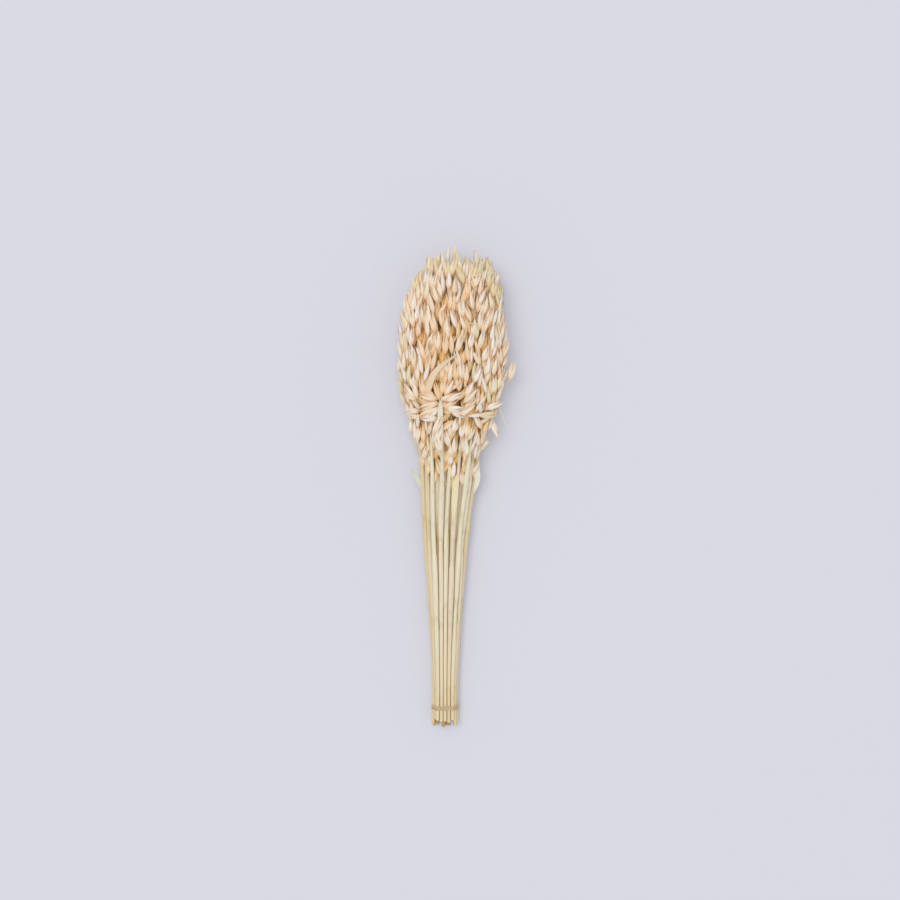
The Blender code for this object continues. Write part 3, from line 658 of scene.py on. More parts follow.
def add_spikelet(stalk, spikelet, crowd):
    stalk.spikelets.append(spikelet)
    crowd.add(spikelet.rods(), stalk.number, Crowd.BODY)
    crowd.add(spikelet.branch(), stalk.number, Crowd.BRANCH)


def add_leaf(stalk, leaf, crowd):
    stalk.leaves.append(leaf)
    crowd.add(leaf.rods(), stalk.number, Crowd.BODY)


def fan_spikelets(stalk):
    """Those that fan out sideways round the crown stalk's whorl: by their angle from +X, in degrees,
    how far above the whorl they leave the stem, and their share of the usual length."""
    fan = []
    for k, (degrees, above, share) in enumerate(CROWN_FAN):
        height = CROWN_WHORL.y + above
        centre = Vector((stalk.on_stem(height).x, height, CROWN_WHORL.z))
        turn = math.radians(degrees)
        direction = Vector((math.cos(turn), math.sin(turn), CROWN_RISES[k % 2])).normalized()
        root, length = centre + CROWN_ROOT * direction, share * SPIKELET_LENGTH
        spikelet = Spikelet(root, direction, UPWARD, length, k % 3 > 0)
        spikelet.start = stalk.on_stem(centre.y - CROWN_BRANCH_DROP)
        fan.append(spikelet)
    return fan


def end_spikelet(stalk):
    """The one that a stalk's tip ends in."""
    root = stalk.point(stalk.top - SPIKELET_LENGTH)
    direction = (root - stalk.point(stalk.top - 2 * SPIKELET_LENGTH)).normalized()
    turn = END_TURN * stalk.number
    return Spikelet(root, direction, Vector((math.cos(turn), 0, math.sin(turn))), SPIKELET_LENGTH, False)


def lay_out():
    draw, crowd = random.Random(SEED), Crowd()
    stalks = make_stalks(draw, crowd)
    for number, height, way, width in LEAVES:
        add_leaf(stalks[number - 1], Leaf(stalks[number - 1], height, way, width), crowd)
    for stalk in stalks:
        add_spikelet(stalk, end_spikelet(stalk), crowd)
    for spikelet in fan_spikelets(stalks[CROWN_STALK - 1]):
        add_spikelet(stalks[CROWN_STALK - 1], spikelet, crowd)
    for root, way in STRAYS:
        stray = placed_spikelet(root, way, False)
        add_spikelet(bearer(stray, stalks), stray, crowd)
    for depth, count in LAYERS:
        for _ in range(count):
            best, best_room = None, CLEARANCE
            for _ in range(DRAWS):
                spikelet = draw_spikelet(draw, depth)
                stalk = spikelet and bearer(spikelet, stalks)
                if not stalk:
                    continue
                room = room_for(spikelet, stalk, crowd)
                if room > best_room:
                    best, best_room = (stalk, spikelet), room
            if best:
                add_spikelet(*best, crowd)
    return stalks, crowd


def fill_head(stalks, crowd):
    """The rest of the head's spikelets, which the solids leave out: they fill the gaps between those
    that the solids have, so they may press against each other a little."""
    draw = random.Random(SEED + 1)
    for place in COVERS:
        cover = placed_spikelet(*place)
        add_spikelet(bearer(cover, stalks, FILL_MOST), cover, crowd)
    for depth, count, highest, slim in FILL_LAYERS:
        for _ in range(count):
            add_fill(depth, highest, slim, draw, stalks, crowd)


def add_fill(depth, highest, slim, draw, stalks, crowd):
    """One of the rest, where there is most room for it, if there is enough."""
    best, best_room = None, SLIM_CLEARANCE if slim else FILL_CLEARANCE
    for _ in range(FILL_DRAWS):
        drawn = draw_spikelet(draw, depth * draw.uniform(*FILL_DEPTHS))
        if not drawn or drawn.root.y > highest:
            continue
        mess = BELT_MESS * math.exp(-(((drawn.root.y - BELT_Y) / MESS_REACH) ** 2))
        spread = (SLIM_LEAN if slim else FILL_LEAN) + mess
        leaning = drawn.direction + drawn.side * draw.gauss(0, spread)
        length = drawn.length * (draw.uniform(*SLIM_LENGTHS) if slim else 1)
        facing, closed = drawn.side.cross(drawn.direction), slim or drawn.closed
        spikelet = Spikelet(drawn.root, leaning.normalized(), facing, length, closed)
        stalk = bearer(spikelet, stalks, FILL_MOST)
        if not stalk:
            continue
        rods = spikelet.rods()[-1:] if slim else spikelet.rods()
        room = crowd.room(rods, stalk.number, (Crowd.BRANCH,))
        if room > best_room:
            best, best_room = (stalk, spikelet, rods), room
    if best:
        stalk, spikelet, rods = best
        spikelet.slimness = draw.uniform(*SLIM_WIDTHS) if slim else 1.0
        stalk.spikelets.append(spikelet)
        crowd.add(rods, stalk.number, Crowd.BODY)


class Surface:
    """The points and faces of one piece, with the values that its materials read at each point."""

    # The last value holds brown stains, and painted shade deep in the head and between the stems
    VALUES = ("along", "across", "tone", "age")

    def __init__(self):
        self.points, self.faces, self.kinds, self.count = [], [], [], 0
        self.values = {name: [] for name in self.VALUES}

    def add(self, points, faces, kind, **values):
        """Faces of one kind of material. A value is one number, or one for each point."""
        points = np.asarray(points, float).reshape(-1, 3)
        self.points.append(points)
        self.faces.append(faces + self.count)
        self.kinds.append(np.full(len(faces), kind))
        for name in self.VALUES:
            value = np.asarray(values.get(name, 0.0), float).reshape(-1)
            self.values[name].append(np.broadcast_to(value, len(points)))
        self.count += len(points)

    def piece(self, name, materials, shift):
        """A new object of all that was added, moved by the shift."""
        mesh = bpy.data.meshes.new(name)
        points = np.concatenate(self.points) + shift
        faces = np.concatenate(self.faces)
        mesh.vertices.add(len(points))
        mesh.vertices.foreach_set("co", points.astype("f").ravel())
        mesh.loops.add(faces.size)
        mesh.loops.foreach_set("vertex_index", faces.astype("i").ravel())
        mesh.polygons.add(len(faces))
        mesh.polygons.foreach_set("loop_start", np.arange(0, faces.size, 4, dtype="i"))
        mesh.polygons.foreach_set("material_index", np.concatenate(self.kinds).astype("i"))
        for label, values in self.values.items():
            layer = mesh.attributes.new(label, "FLOAT", "POINT")
            layer.data.foreach_set("value", np.concatenate(values).astype("f"))
        for material in materials:
            mesh.materials.append(material)
        mesh.update(calc_edges=True)
        mesh.validate()
        mesh.shade_smooth()
        mesh.set_sharp_from_angle(angle=SHARP_ANGLE)
        made = bpy.data.objects.new(name, mesh)
        bpy.context.scene.collection.objects.link(made)
        return made


def unit(vectors):
    return vectors / np.maximum(np.linalg.norm(vectors, axis=-1, keepdims=True), 1e-12)


def turns(count):
    """Angles in equal steps round a circle."""
    return np.arange(count) * math.tau / count


def tube_faces(stations, sides, closed=False):
    """The faces of a tube of an even number of sides: capped at both ends, or closed in a loop."""
    here = np.arange(sides)
    there = (here + 1) % sides
    low = np.arange(stations if closed else stations - 1)[:, None] * sides
    high = (low + sides) % (stations * sides)
    walls = np.stack((low + here, low + there, high + there, high + here), -1).reshape(-1, 4)
    if closed:
        return walls
    cap = np.array([(i, i + 1, sides - 2 - i, sides - 1 - i) for i in range(sides // 2 - 1)])
    return np.concatenate((walls, cap[:, ::-1], cap + (stations - 1) * sides))


def rings(line, radii, sides, flat=1.0, facing=(0, 0, 1)):
    """Round or flattened rings along a line of points. The flat side faces the given way."""
    way = unit(np.gradient(line, axis=0))
    across = unit(np.cross(way, facing))
    up = np.cross(across, way)
    turn = turns(sides)
    radii = np.broadcast_to(radii, len(line))[:, None, None]
    round_ring = across[:, None] * np.cos(turn)[:, None] + flat * up[:, None] * np.sin(turn)[:, None]
    return line[:, None] + radii * round_ring


def sheet(points, thickness):
    """A thin closed blade along a grid of points, with sharp edges: its points and faces, and the
    order in which the grid's values are read for them."""
    along, across = np.gradient(points, axis=0), np.gradient(points, axis=1)
    rise = np.zeros(points.shape[:2])
    rise[1:-1, 1:-1] = thickness / 2
    offset = unit(np.cross(across, along)) * rise[..., None]
    count = rise.size
    front = np.arange(count).reshape(rise.shape)
    back = front.copy()
    back[1:-1, 1:-1] = count + np.arange(back[1:-1, 1:-1].size).reshape(back[1:-1, 1:-1].shape)
    faces = []
    for grid, order in ((front, (0, 1, 2, 3)), (back, (3, 2, 1, 0))):
        corners = (grid[:-1, :-1], grid[:-1, 1:], grid[1:, 1:], grid[1:, :-1])
        faces.append(np.stack([corners[k] for k in order], -1).reshape(-1, 4))
    inner = (points - offset)[1:-1, 1:-1].reshape(-1, 3)
    placed = np.concatenate(((points + offset).reshape(-1, 3), inner))
    order = np.concatenate((front.ravel(), front[1:-1, 1:-1].ravel()))
    return placed, np.concatenate(faces), order


def spindle(share):
    """How a husk swells from its root and narrows to its tip, 1 at its widest."""
    widest = (HUSK_SWELL - HUSK_ROOT * HUSK_TAPER) / (HUSK_SWELL + HUSK_TAPER)
    swell, most = ((s + HUSK_ROOT) ** HUSK_SWELL * (1 - s) ** HUSK_TAPER for s in (share, widest))
    return HUSK_LEAST + (1 - HUSK_LEAST) * swell / most


def depth_in_head(points):
    """How deep points lie in the head: 0 at its outside, and 1 at its middle line."""
    wide = np.interp(points[..., 1], HEAD_PLACES, HEAD_WIDTHS)
    x = np.interp(points[..., 1], HEAD_PLACES, HEAD_MIDDLES[:, 0])
    z = np.interp(points[..., 1], HEAD_PLACES, HEAD_MIDDLES[:, 1])
    inside = 1 - np.hypot((points[..., 0] - x) / wide, (points[..., 2] - z) / (HEAD_FLATNESS * wide))
    return np.minimum(inside, (HEAD_TOP - points[..., 1]) / TOP_REACH)


def painted_depth_shade(points, reach, more=0.0):
    """Painted shade: how brown things at the points are for lying deep in the head, from 0 to 1."""
    return np.clip((depth_in_head(points) - SHALLOW) / reach + more, 0, 1)


def height_of_head(x, y):
    """The height of the head's upper side at a place, or of its edge beyond that."""
    middle_x, middle_z = head_centre(y)
    wide = HEAD_HALF_WIDTH(y)
    return middle_z + HEAD_FLATNESS * wide * math.sqrt(max(1 - ((x - middle_x) / wide) ** 2, 0))


HEAD_PLACES = np.linspace(HEAD_HALF_WIDTH.places[0], HEAD_TOP, 200)
HEAD_WIDTHS = each(HEAD_HALF_WIDTH, HEAD_PLACES)
HEAD_MIDDLES = each(head_centre, HEAD_PLACES)


def tone_at(place, draw):
    """The colour of a spikelet there."""
    odd = draw.random() < ODD_SHARE + ODD_AT_TOP * smooth_step(*ODD_TOP, place.y)
    if odd or any(math.dist(place.xy, green) < GREEN_REACH for green in GREEN_PLACES):
        return draw.uniform(*ODD_TONES)
    shift = 0.0
    for centre, reaches, amount in TINTS:
        away = [(a - b) / reach for a, b, reach in zip(place.xy, centre, reaches)]
        shift += amount * math.exp(-(away[0] ** 2) - away[1] ** 2)
    return min(max(draw.random() * WHITEST + shift, 0), WHITEST)


class Look:
    """What makes one spikelet differ from the next."""

    def __init__(self, spikelet, draw):
        self.gape = HUSK_CLOSED_GAPE if spikelet.closed else draw.uniform(*HUSK_GAPES)
        if draw.random() < WIDE_OPEN_SHARE:
            self.gape = draw.uniform(*WIDE_GAPES)
        self.bend = (draw.gauss(0, HUSK_BEND), draw.gauss(0, HUSK_BEND))
        self.twist = draw.gauss(0, HUSK_TWIST)
        self.wide = draw.uniform(*HUSK_WIDTHS) * spikelet.slimness
        self.length = spikelet.length * draw.uniform(*HUSK_LENGTHS)
        self.tone = tone_at((spikelet.tip() + spikelet.root) / 2, draw)
        self.awned = draw.random() < AWN_SHARE
        # A random shift for each spikelet of how brown it is, added to the painted shade deep in the head
        self.aged_and_shaded = draw.gauss(0, AGE_SPREAD)
        self.draw = draw


def axes(spikelet):
    side, direction = np.array(spikelet.side), np.array(spikelet.direction)
    return side, np.cross(direction, side), direction


def add_glume(surface, spikelet, look, hand, length):
    """One boat-shaped husk, open towards the other. hand is 1 on the spikelet's side, and -1 opposite."""
    side, back, direction = axes(spikelet)
    t, u = GLUME_ALONG[:, None], GLUME_ACROSS[None, :]
    opened = np.clip((t - OPENS_AT) / (1 - OPENS_AT), 0, 1)
    size = GLUME_SIZES[hand]
    spread = (WRAP - UNWRAP * opened) * u
    half_wide = SPIKELET_WIDTH / 2 * look.wide * size * spindle(t)
    half_deep = SPIKELET_DEPTH / 2 * size * spindle(t) * math.sqrt(spikelet.slimness)
    keel = 1 + KEEL * (1 - abs(u)) ** 3
    flare = 1 + FLARE * opened * abs(u) ** 3
    wave = 1 + WAVE * np.sin(WAVES_ALONG * t + WAVES_ACROSS * u + look.draw.uniform(*PHASES))
    aside = half_wide * (keel * flare * wave * np.cos(spread) - DRAWN_IN * opened)
    away = hand * (look.gape / 2 * opened**OPENS_SLOWLY + aside)
    rise = hand * half_deep * flare * wave * np.sin(spread)
    turn = look.twist * t
    bent_side, bent_back = (bend * t**2 * length for bend in look.bend)
    bent_back = bent_back + look.draw.uniform(-1, 1) * TIP_STRAY * opened
    along_side = away * np.cos(turn) - rise * np.sin(turn) + bent_side
    along_back = away * np.sin(turn) + rise * np.cos(turn) + bent_back
    reach = t * length + 0 * u
    place = np.array(spikelet.root) + (
        along_side[..., None] * side + along_back[..., None] * back + reach[..., None] * direction
    )
    points, faces, order = sheet(place, GLUME_THICKNESS)
    tone = np.clip(look.tone + look.draw.gauss(0, TONE_SPREAD), 0, 1)
    along, across = (np.broadcast_to(value, reach.shape).ravel()[order] for value in (t, u))
    # Painted shade deep in the head, shifted at random for each spikelet
    age = painted_depth_shade(points, HUSK_BROWNS, look.aged_and_shaded)
    surface.add(points, faces, HUSK, along=along, across=across, tone=tone, age=age)


def add_floret(surface, spikelet, look, aside, length):
    """A slim grain in its own husk, between the glumes."""
    side, back, direction = axes(spikelet)
    t, sides = FLORET_ALONG, FLORET_SIDES
    bent_side, bent_back = (bend * t**2 * length for bend in look.bend)
    along_side = aside * (1 - FLORETS_PART + FLORETS_PART * t) + bent_side
    root = np.array(spikelet.root) + FLORET_ROOT * length * direction
    line = root + np.outer(t * length, direction) + np.outer(along_side, side) + np.outer(bent_back, back)
    ring = rings(line, FLORET_WIDTH / 2 * spindle(t), sides, flat=FLORET_FLATNESS, facing=back)
    # Painted shade deep in the head
    age = painted_depth_shade(ring.reshape(-1, 3), HUSK_BROWNS)
    surface.add(ring, tube_faces(len(t), sides), FLORET, along=np.repeat(t, sides), tone=look.tone, age=age)


def add_awn(surface, spikelet, look):
    """A stiff hair that grows past the spikelet's tip and bends."""
    side, back, direction = axes(spikelet)
    t = np.linspace(0, 1, AWN_STATIONS)
    reach = look.draw.uniform(*AWN_REACHES)
    sway = look.draw.gauss(0, AWN_SWAY), look.draw.gauss(0, AWN_SWAY)
    bent = t[:, None] ** 2 * reach * (sway[0] * side + sway[1] * back)
    line = np.array(spikelet.place(0, AWN_ROOT)) + t[:, None] * reach * direction + bent
    ring = rings(line, AWN_RADIUS * (AWN_FOOT - t), HAIR_SIDES, facing=back)
    along = np.repeat(t, HAIR_SIDES)
    surface.add(ring, tube_faces(len(t), HAIR_SIDES), STRAW, along=along, tone=look.tone)


def add_branch(surface, stalk, spikelet, draw):
    """The hair-thin branch that leaves the stem upwards and bends over to the spikelet's root."""
    start, root = np.array(stalk.point(spikelet.start.y)), np.array(spikelet.root)
    length = np.linalg.norm(root - start)
    up = np.array((draw.gauss(0, BRANCH_SWAY), 1, draw.gauss(0, BRANCH_SWAY)))
    leaving = start + BRANCH_LEAVING * length * up
    arriving = root - BRANCH_ARRIVING * length * np.array(spikelet.direction)
    t = np.linspace(0, 1, BRANCH_STATIONS)[:, None]
    line = (1 - t) ** 3 * start + 3 * t * (1 - t) ** 2 * leaving + 3 * t**2 * (1 - t) * arriving + t**3 * root
    line[:, 2] = np.maximum(line[:, 2], BRANCH_RADIUS + TABLE_GAP)
    thin = np.interp(t[:, 0], BRANCH_SHARES, BRANCH_RADII)
    ring = rings(line, thin, HAIR_SIDES, facing=BRANCH_FACING)
    # Painted shade: branches brown deep in the head
    age = np.repeat(np.clip(depth_in_head(line) / BRANCH_BROWNS, 0, 1), HAIR_SIDES)
    faces, along = tube_faces(len(line), HAIR_SIDES), np.repeat(t, HAIR_SIDES)
    surface.add(ring, faces, STRAW, along=along, tone=draw.random(), age=age)


def add_spikelet_shape(surface, stalk, spikelet, draw):
    """One spikelet, raised where it would reach below the table, and its branch."""
    look = Look(spikelet, draw)
    first = len(surface.points)
    add_glume(surface, spikelet, look, 1, look.length)
    add_glume(surface, spikelet, look, -1, look.length * draw.uniform(*SECOND_GLUMES))
    for aside in FLORETS_ASIDE if look.gape > FLORETS_SHOW else (0,):
        add_floret(surface, spikelet, look, aside, look.length * draw.uniform(*FLORET_LENGTHS))
    if look.awned:
        add_awn(surface, spikelet, look)
    added = surface.points[first:]
    lift = max(0.0, TABLE_GAP - min(points[:, 2].min() for points in added))
    for points in added:
        points[:, 2] += lift
    spikelet.root.z += lift
    if spikelet.start:
        add_branch(surface, stalk, spikelet, draw)


def nearest_stems(stalk, stalks, y, turn):
    """How far the stem may reach at each station and in each direction, halfway to the next stems."""
    own = each(stalk.point, y)[:, (0, 2)]
    reach = np.full((len(y), len(turn)), 1.0)
    for other in stalks:
        if other is stalk:
            continue
        until = y <= other.stations()[-1]
        away = each(other.point, y)[:, (0, 2)] - own
        apart = np.maximum(np.linalg.norm(away, axis=1), 1e-6)
        towards = (away[:, :1] * np.cos(turn) + away[:, 1:] * np.sin(turn)) / apart[:, None]
        limit = (apart[:, None] / 2 - STEMS_APART) / np.maximum(towards, LEAST_TOWARDS)
        reach = np.where(until[:, None], np.minimum(reach, limit), reach)
    return reach


def add_culm(surface, stalk, stalks, draw):
    """The stem: joints that swell, leaf sheaths wrapped round it above them and pressed against the
    next stems, and a hollow cut end."""
    top = stalk.stations()[-1]
    y = np.linspace(stalk.foot, top, CULM_STATIONS)
    line, radius = each(stalk.point, y), each(CULM_RADIUS, y)
    turn = turns(CULM_SIDES)
    joints = [place + draw.gauss(0, JOINT_SCATTER) for place in JOINTS]
    swollen, near_joint = np.zeros_like(y), np.zeros_like(y)
    wrapped, thick = np.zeros((len(y), CULM_SIDES)), np.zeros_like(y)
    for joint in joints:
        swollen += JOINT_SWELLS * np.exp(-(((y - joint) / JOINT_REACH) ** 2))
        near_joint += np.exp(-(((y - joint) / JOINT_STAIN) ** 2))
        end = joint + draw.uniform(*SHEATH_LENGTHS)
        seam = draw.uniform(0, math.tau) + draw.uniform(-SEAM_SLANT, SEAM_SLANT) * (y - joint)
        there = np.clip((y - joint) / SHEATH_STARTS, 0, 1) * np.clip((end - y) / SHEATH_ENDS, 0, 1)
        loose = np.sin(math.pi * np.clip((y - joint) / (end - joint), 0, 1))
        swell = SHEATH_TIGHT + (1 - SHEATH_TIGHT) * loose
        thick += there * swell * draw.uniform(*SHEATH_THICKNESSES)
        past_seam = np.mod(turn[None, :] - seam[:, None], math.tau) / math.tau
        wrapped += there[:, None] * (SHEATH_SEAM + (1 - SHEATH_SEAM) * past_seam)
    flat, flat_turn = draw.uniform(*OVALS), draw.uniform(0, math.tau)
    oval = 1 + flat * np.cos(2 * (turn - flat_turn))
    spread = np.clip((y - BAND_Y) / FREE_ABOVE_BAND, 0, 1)[:, None]
    reach = radius[:, None] * (1 + swollen[:, None]) * (1 + spread * (oval - 1)[None, :])
    wanted = reach + np.minimum(wrapped, 1.0) * np.minimum(thick, SHEATH_THICKNESSES[1])[:, None] * spread
    room = nearest_stems(stalk, stalks, y, turn)
    reach = np.minimum(wanted, np.maximum(room, LEAST_CULM * radius[:, None]))
    # Painted shade along the lines where the stem presses against the next stems
    pressed_shade = np.clip((wanted - room + PRESSED_FROM) / PRESSED_REACH, 0, 1)
    way = unit(np.gradient(line, axis=0))
    up = unit(np.cross((1, 0, 0), way))
    across = np.cross(way, up)
    spokes = across[:, None] * np.cos(turn)[:, None] + up[:, None] * np.sin(turn)[:, None]
    outside = line[:, None] + reach[..., None] * spokes
    outside[..., 2] = np.maximum(outside[..., 2], TABLE_GAP)
    mouth = line[0] + MOUTH * reach[0][:, None] * spokes[0]
    floor = line[0] + HOLLOW * reach[0][:, None] * spokes[0] + np.array((0, HOLLOW_DEPTH, 0))
    placed = np.concatenate((floor[None], mouth[None], outside))
    share = np.concatenate(((0, 0), (y - stalk.foot) / (top - stalk.foot)))
    in_neck, in_head = (np.array([smooth_step(*ends, place) for place in y]) for ends in (NECK, LOW_HEAD))
    # Painted shade on stems inside the bundle, below the neck; the stems that show take their own brown
    # instead
    inner = INNER_SHADE if math.hypot(stalk.u, stalk.v) < INNER_PACKING else 0.0
    tone, inner = STEM_LOOKS.get(stalk.number, (draw.random(), inner))
    # Painted shade deep in the head
    deep = DEEP_SHADE * painted_depth_shade(line, STEM_BROWNS) * in_head
    # Brown stains at the joints, with the painted shade deep in the head and inside the bundle added
    stains_and_shade = JOINT_BROWN * near_joint + deep + inner * (1 - in_neck)
    # Painted shade along the pressed lines, less of it above the neck
    stains_and_shade = np.clip(stains_and_shade[:, None] + pressed_shade * (1 - PRESSED_PALES * in_neck)[:, None], 0, 1)
    # Painted shade fills the inside of the hollow cut end
    age = np.concatenate((np.ones((2, CULM_SIDES)), stains_and_shade))
    sheathed = np.concatenate((np.zeros((2, CULM_SIDES)), wrapped))
    faces, along = tube_faces(len(placed), CULM_SIDES), np.repeat(share, CULM_SIDES)
    surface.add(placed, faces, STRAW, along=along, across=sheathed, tone=tone, age=age)


def add_bit(surface, start, end, sag):
    """A broken thin straw on top of the head, or one that hangs over its edge."""
    t = np.linspace(0, 1, BIT_STATIONS)[:, None]
    flat = (1 - t) * np.array(start) + t * np.array(end)
    heights = [height_of_head(x, y) + BITS_ABOVE for x, y in flat]
    line = np.column_stack((flat, heights))
    line[:, 2] -= sag * t[:, 0] ** 2
    ring = rings(line, BIT_RADIUS * (BIT_FOOT - BIT_TAPER * t[:, 0]), BIT_SIDES)
    surface.add(ring, tube_faces(len(line), BIT_SIDES), HUSK, along=0.5, tone=STRAW_YELLOW)


def add_leaf_shape(surface, leaf, tone, wider, draw):
    """A dry blade with a fold along its middle and edges that curl."""
    t, u = np.linspace(0, 1, LEAF_ROWS), np.linspace(-1, 1, LEAF_COLUMNS)
    line, half = each(leaf.place, t), wider * each(leaf.half_width, t)
    way = unit(np.gradient(line, axis=0))
    across = unit(np.cross(way, (0, 0, 1)))
    up = np.cross(across, way)
    fold = LEAF_FOLD * abs(u)[None, :] * half[:, None] - LEAF_SINK * half[:, None]
    ripple = RIPPLE * np.sin(RIPPLES * t + draw.uniform(*PHASES))[:, None] * (u**2)[None, :]
    wide = (half[:, None] * u)[..., None] * across[:, None]
    place = line[:, None] + wide + (fold + ripple)[..., None] * up[:, None]
    points, faces, order = sheet(place, LEAF_SHEET_THICKNESS)
    surface.add(points, faces, LEAF, across=np.tile(u, len(t))[order], tone=tone)


def build_stalk(stalk, stalks, materials, shift):
    draw = random.Random(1000 * SEED + stalk.number)
    surface = Surface()
    add_culm(surface, stalk, stalks, draw)
    for spikelet in stalk.spikelets:
        add_spikelet_shape(surface, stalk, spikelet, draw)
    for (number, *_), tone, wider in zip(LEAVES, LEAF_TONES, LEAF_WIDER):
        for leaf in stalk.leaves if number == stalk.number else ():
            add_leaf_shape(surface, leaf, tone, wider, draw)
    if stalk.number == CROWN_STALK:
        add_leaf_shape(surface, Leaf(stalk, *WIDE_SHEATH), SHEATH_TONE, 1.0, draw)
    for number, start, end, sag in BITS:
        if number == stalk.number:
            add_bit(surface, start, end, sag)
    piece = surface.piece(f"oats_{stalk.number:02d}", materials, shift)
    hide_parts(f"oat_stalk_{stalk.number:02d}")
    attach(piece, "root")


def build_band(stalks, rubber, shift):
    """Strands of a thin elastic band that runs round the stems several times."""
    centres = np.array([stalk.point(BAND_Y) for stalk in stalks])
    turn = turns(BAND_STATIONS)
    out = np.stack((np.cos(turn), 0 * turn, np.sin(turn)), -1)
    furthest = centres[(centres @ out.T).argmax(0)]
    half = BAND_THICKNESS / 2
    corner = furthest + out * (CULM_RADIUS(BAND_Y) + BAND_GAP)
    line = corner + out * half
    line[:, 2] = np.maximum(line[:, 2], half)
    surface = Surface()
    section = turns(STRAND_SIDES)
    for strand in range(STRANDS):
        middle = BAND_Y + (strand - (STRANDS - 1) / 2) * STRAND_WIDTH
        sway = STRAND_SWAY * np.sin(2 * turn + STRAND_PHASE * strand)
        wide = np.cos(section)[None, :, None] * (STRAND_WIDTH / 2 * STRAND_WIDE) * np.array((0, 1, 0))
        deep = np.sin(section)[None, :, None] * (half * STRAND_DEEP) * out[:, None]
        placed = line[:, None] + wide + deep
        placed[..., 1] += middle - BAND_Y + sway[:, None]
        faces = tube_faces(BAND_STATIONS, STRAND_SIDES, closed=True)
        surface.add(placed, faces, 0, tone=strand / STRANDS)
    piece = surface.piece("elastic_strands", [rubber], shift)
    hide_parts("band_elastic")
    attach(piece, "root")


class Shader:
    """Builds one material, node by node."""

    def __init__(self, name, **constants):
        self.material = bpy.data.materials.new(name)
        self.material.use_nodes = True
        self.tree = self.material.node_tree
        self.surface = self.tree.nodes["Principled BSDF"]
        for socket, value in constants.items():
            self.surface.inputs[socket.replace("_", " ")].default_value = value

    def node(self, kind, inputs=(), **settings):
        made = self.tree.nodes.new(kind)
        for name, value in settings.items():
            setattr(made, name, value)
        for socket, value in dict(inputs).items():
            if isinstance(value, bpy.types.NodeSocket):
                self.tree.links.new(value, made.inputs[socket])
            else:
                made.inputs[socket].default_value = value
        return made

    def value(self, name):
        return self.node("ShaderNodeAttribute", attribute_name=name).outputs["Fac"]

    def math(self, operation, *values):
        return self.node("ShaderNodeMath", enumerate(values), operation=operation).outputs[0]

    def fade(self, value, low, high, to_low=0.0, to_high=1.0):
        """The value's smooth way from low to high, as a number from to_low to to_high."""
        inputs = {"Value": value, "From Min": low, "From Max": high, "To Min": to_low, "To Max": to_high}
        return self.node("ShaderNodeMapRange", inputs, interpolation_type="SMOOTHSTEP").outputs["Result"]

    def mix(self, share, first, second):
        made = self.node("ShaderNodeMix", data_type="RGBA")
        for socket, value in zip((0, 6, 7), (share, first, second)):
            if isinstance(value, bpy.types.NodeSocket):
                self.tree.links.new(value, made.inputs[socket])
            else:
                made.inputs[socket].default_value = value if socket == 0 else (*value, 1)
        return made.outputs[2]

    def noise(self, scale, stretch=(1, 1, 1), detail=3.0):
        """Noise in the piece's own place, from 0 to 1, drawn out along the axes by the stretch."""
        place = self.node("ShaderNodeTexCoord").outputs["Object"]
        drawn = self.node("ShaderNodeMapping", {"Vector": place, "Scale": stretch}).outputs["Vector"]
        inputs = {"Vector": drawn, "Scale": scale, "Detail": detail}
        return self.node("ShaderNodeTexNoise", inputs).outputs["Fac"]

    def ramp(self, value, *stops):
        """Colours by a value, from (place, colour) stops."""
        made = self.node("ShaderNodeValToRGB", {"Fac": value})
        elements = made.color_ramp.elements
        while len(elements) < len(stops):
            elements.new(1.0)
        for element, (place, colour) in zip(elements, stops):
            element.position, element.color = place, (*colour, 1)
        return made.outputs["Color"]

    def stain(self, amount, value, colour, stain):
        """The colour, stained by the value times the amount."""
        return self.mix(self.math("MULTIPLY", value, amount), colour, stain)

    def finish(self, colour, roughness, height, depth):
        self.tree.links.new(colour, self.surface.inputs["Base Color"])
        self.tree.links.new(roughness, self.surface.inputs["Roughness"])
        bump = self.node("ShaderNodeBump", {"Height": height, "Distance": depth, "Strength": 1.0})
        self.tree.links.new(bump.outputs["Normal"], self.surface.inputs["Normal"])
        return self.material


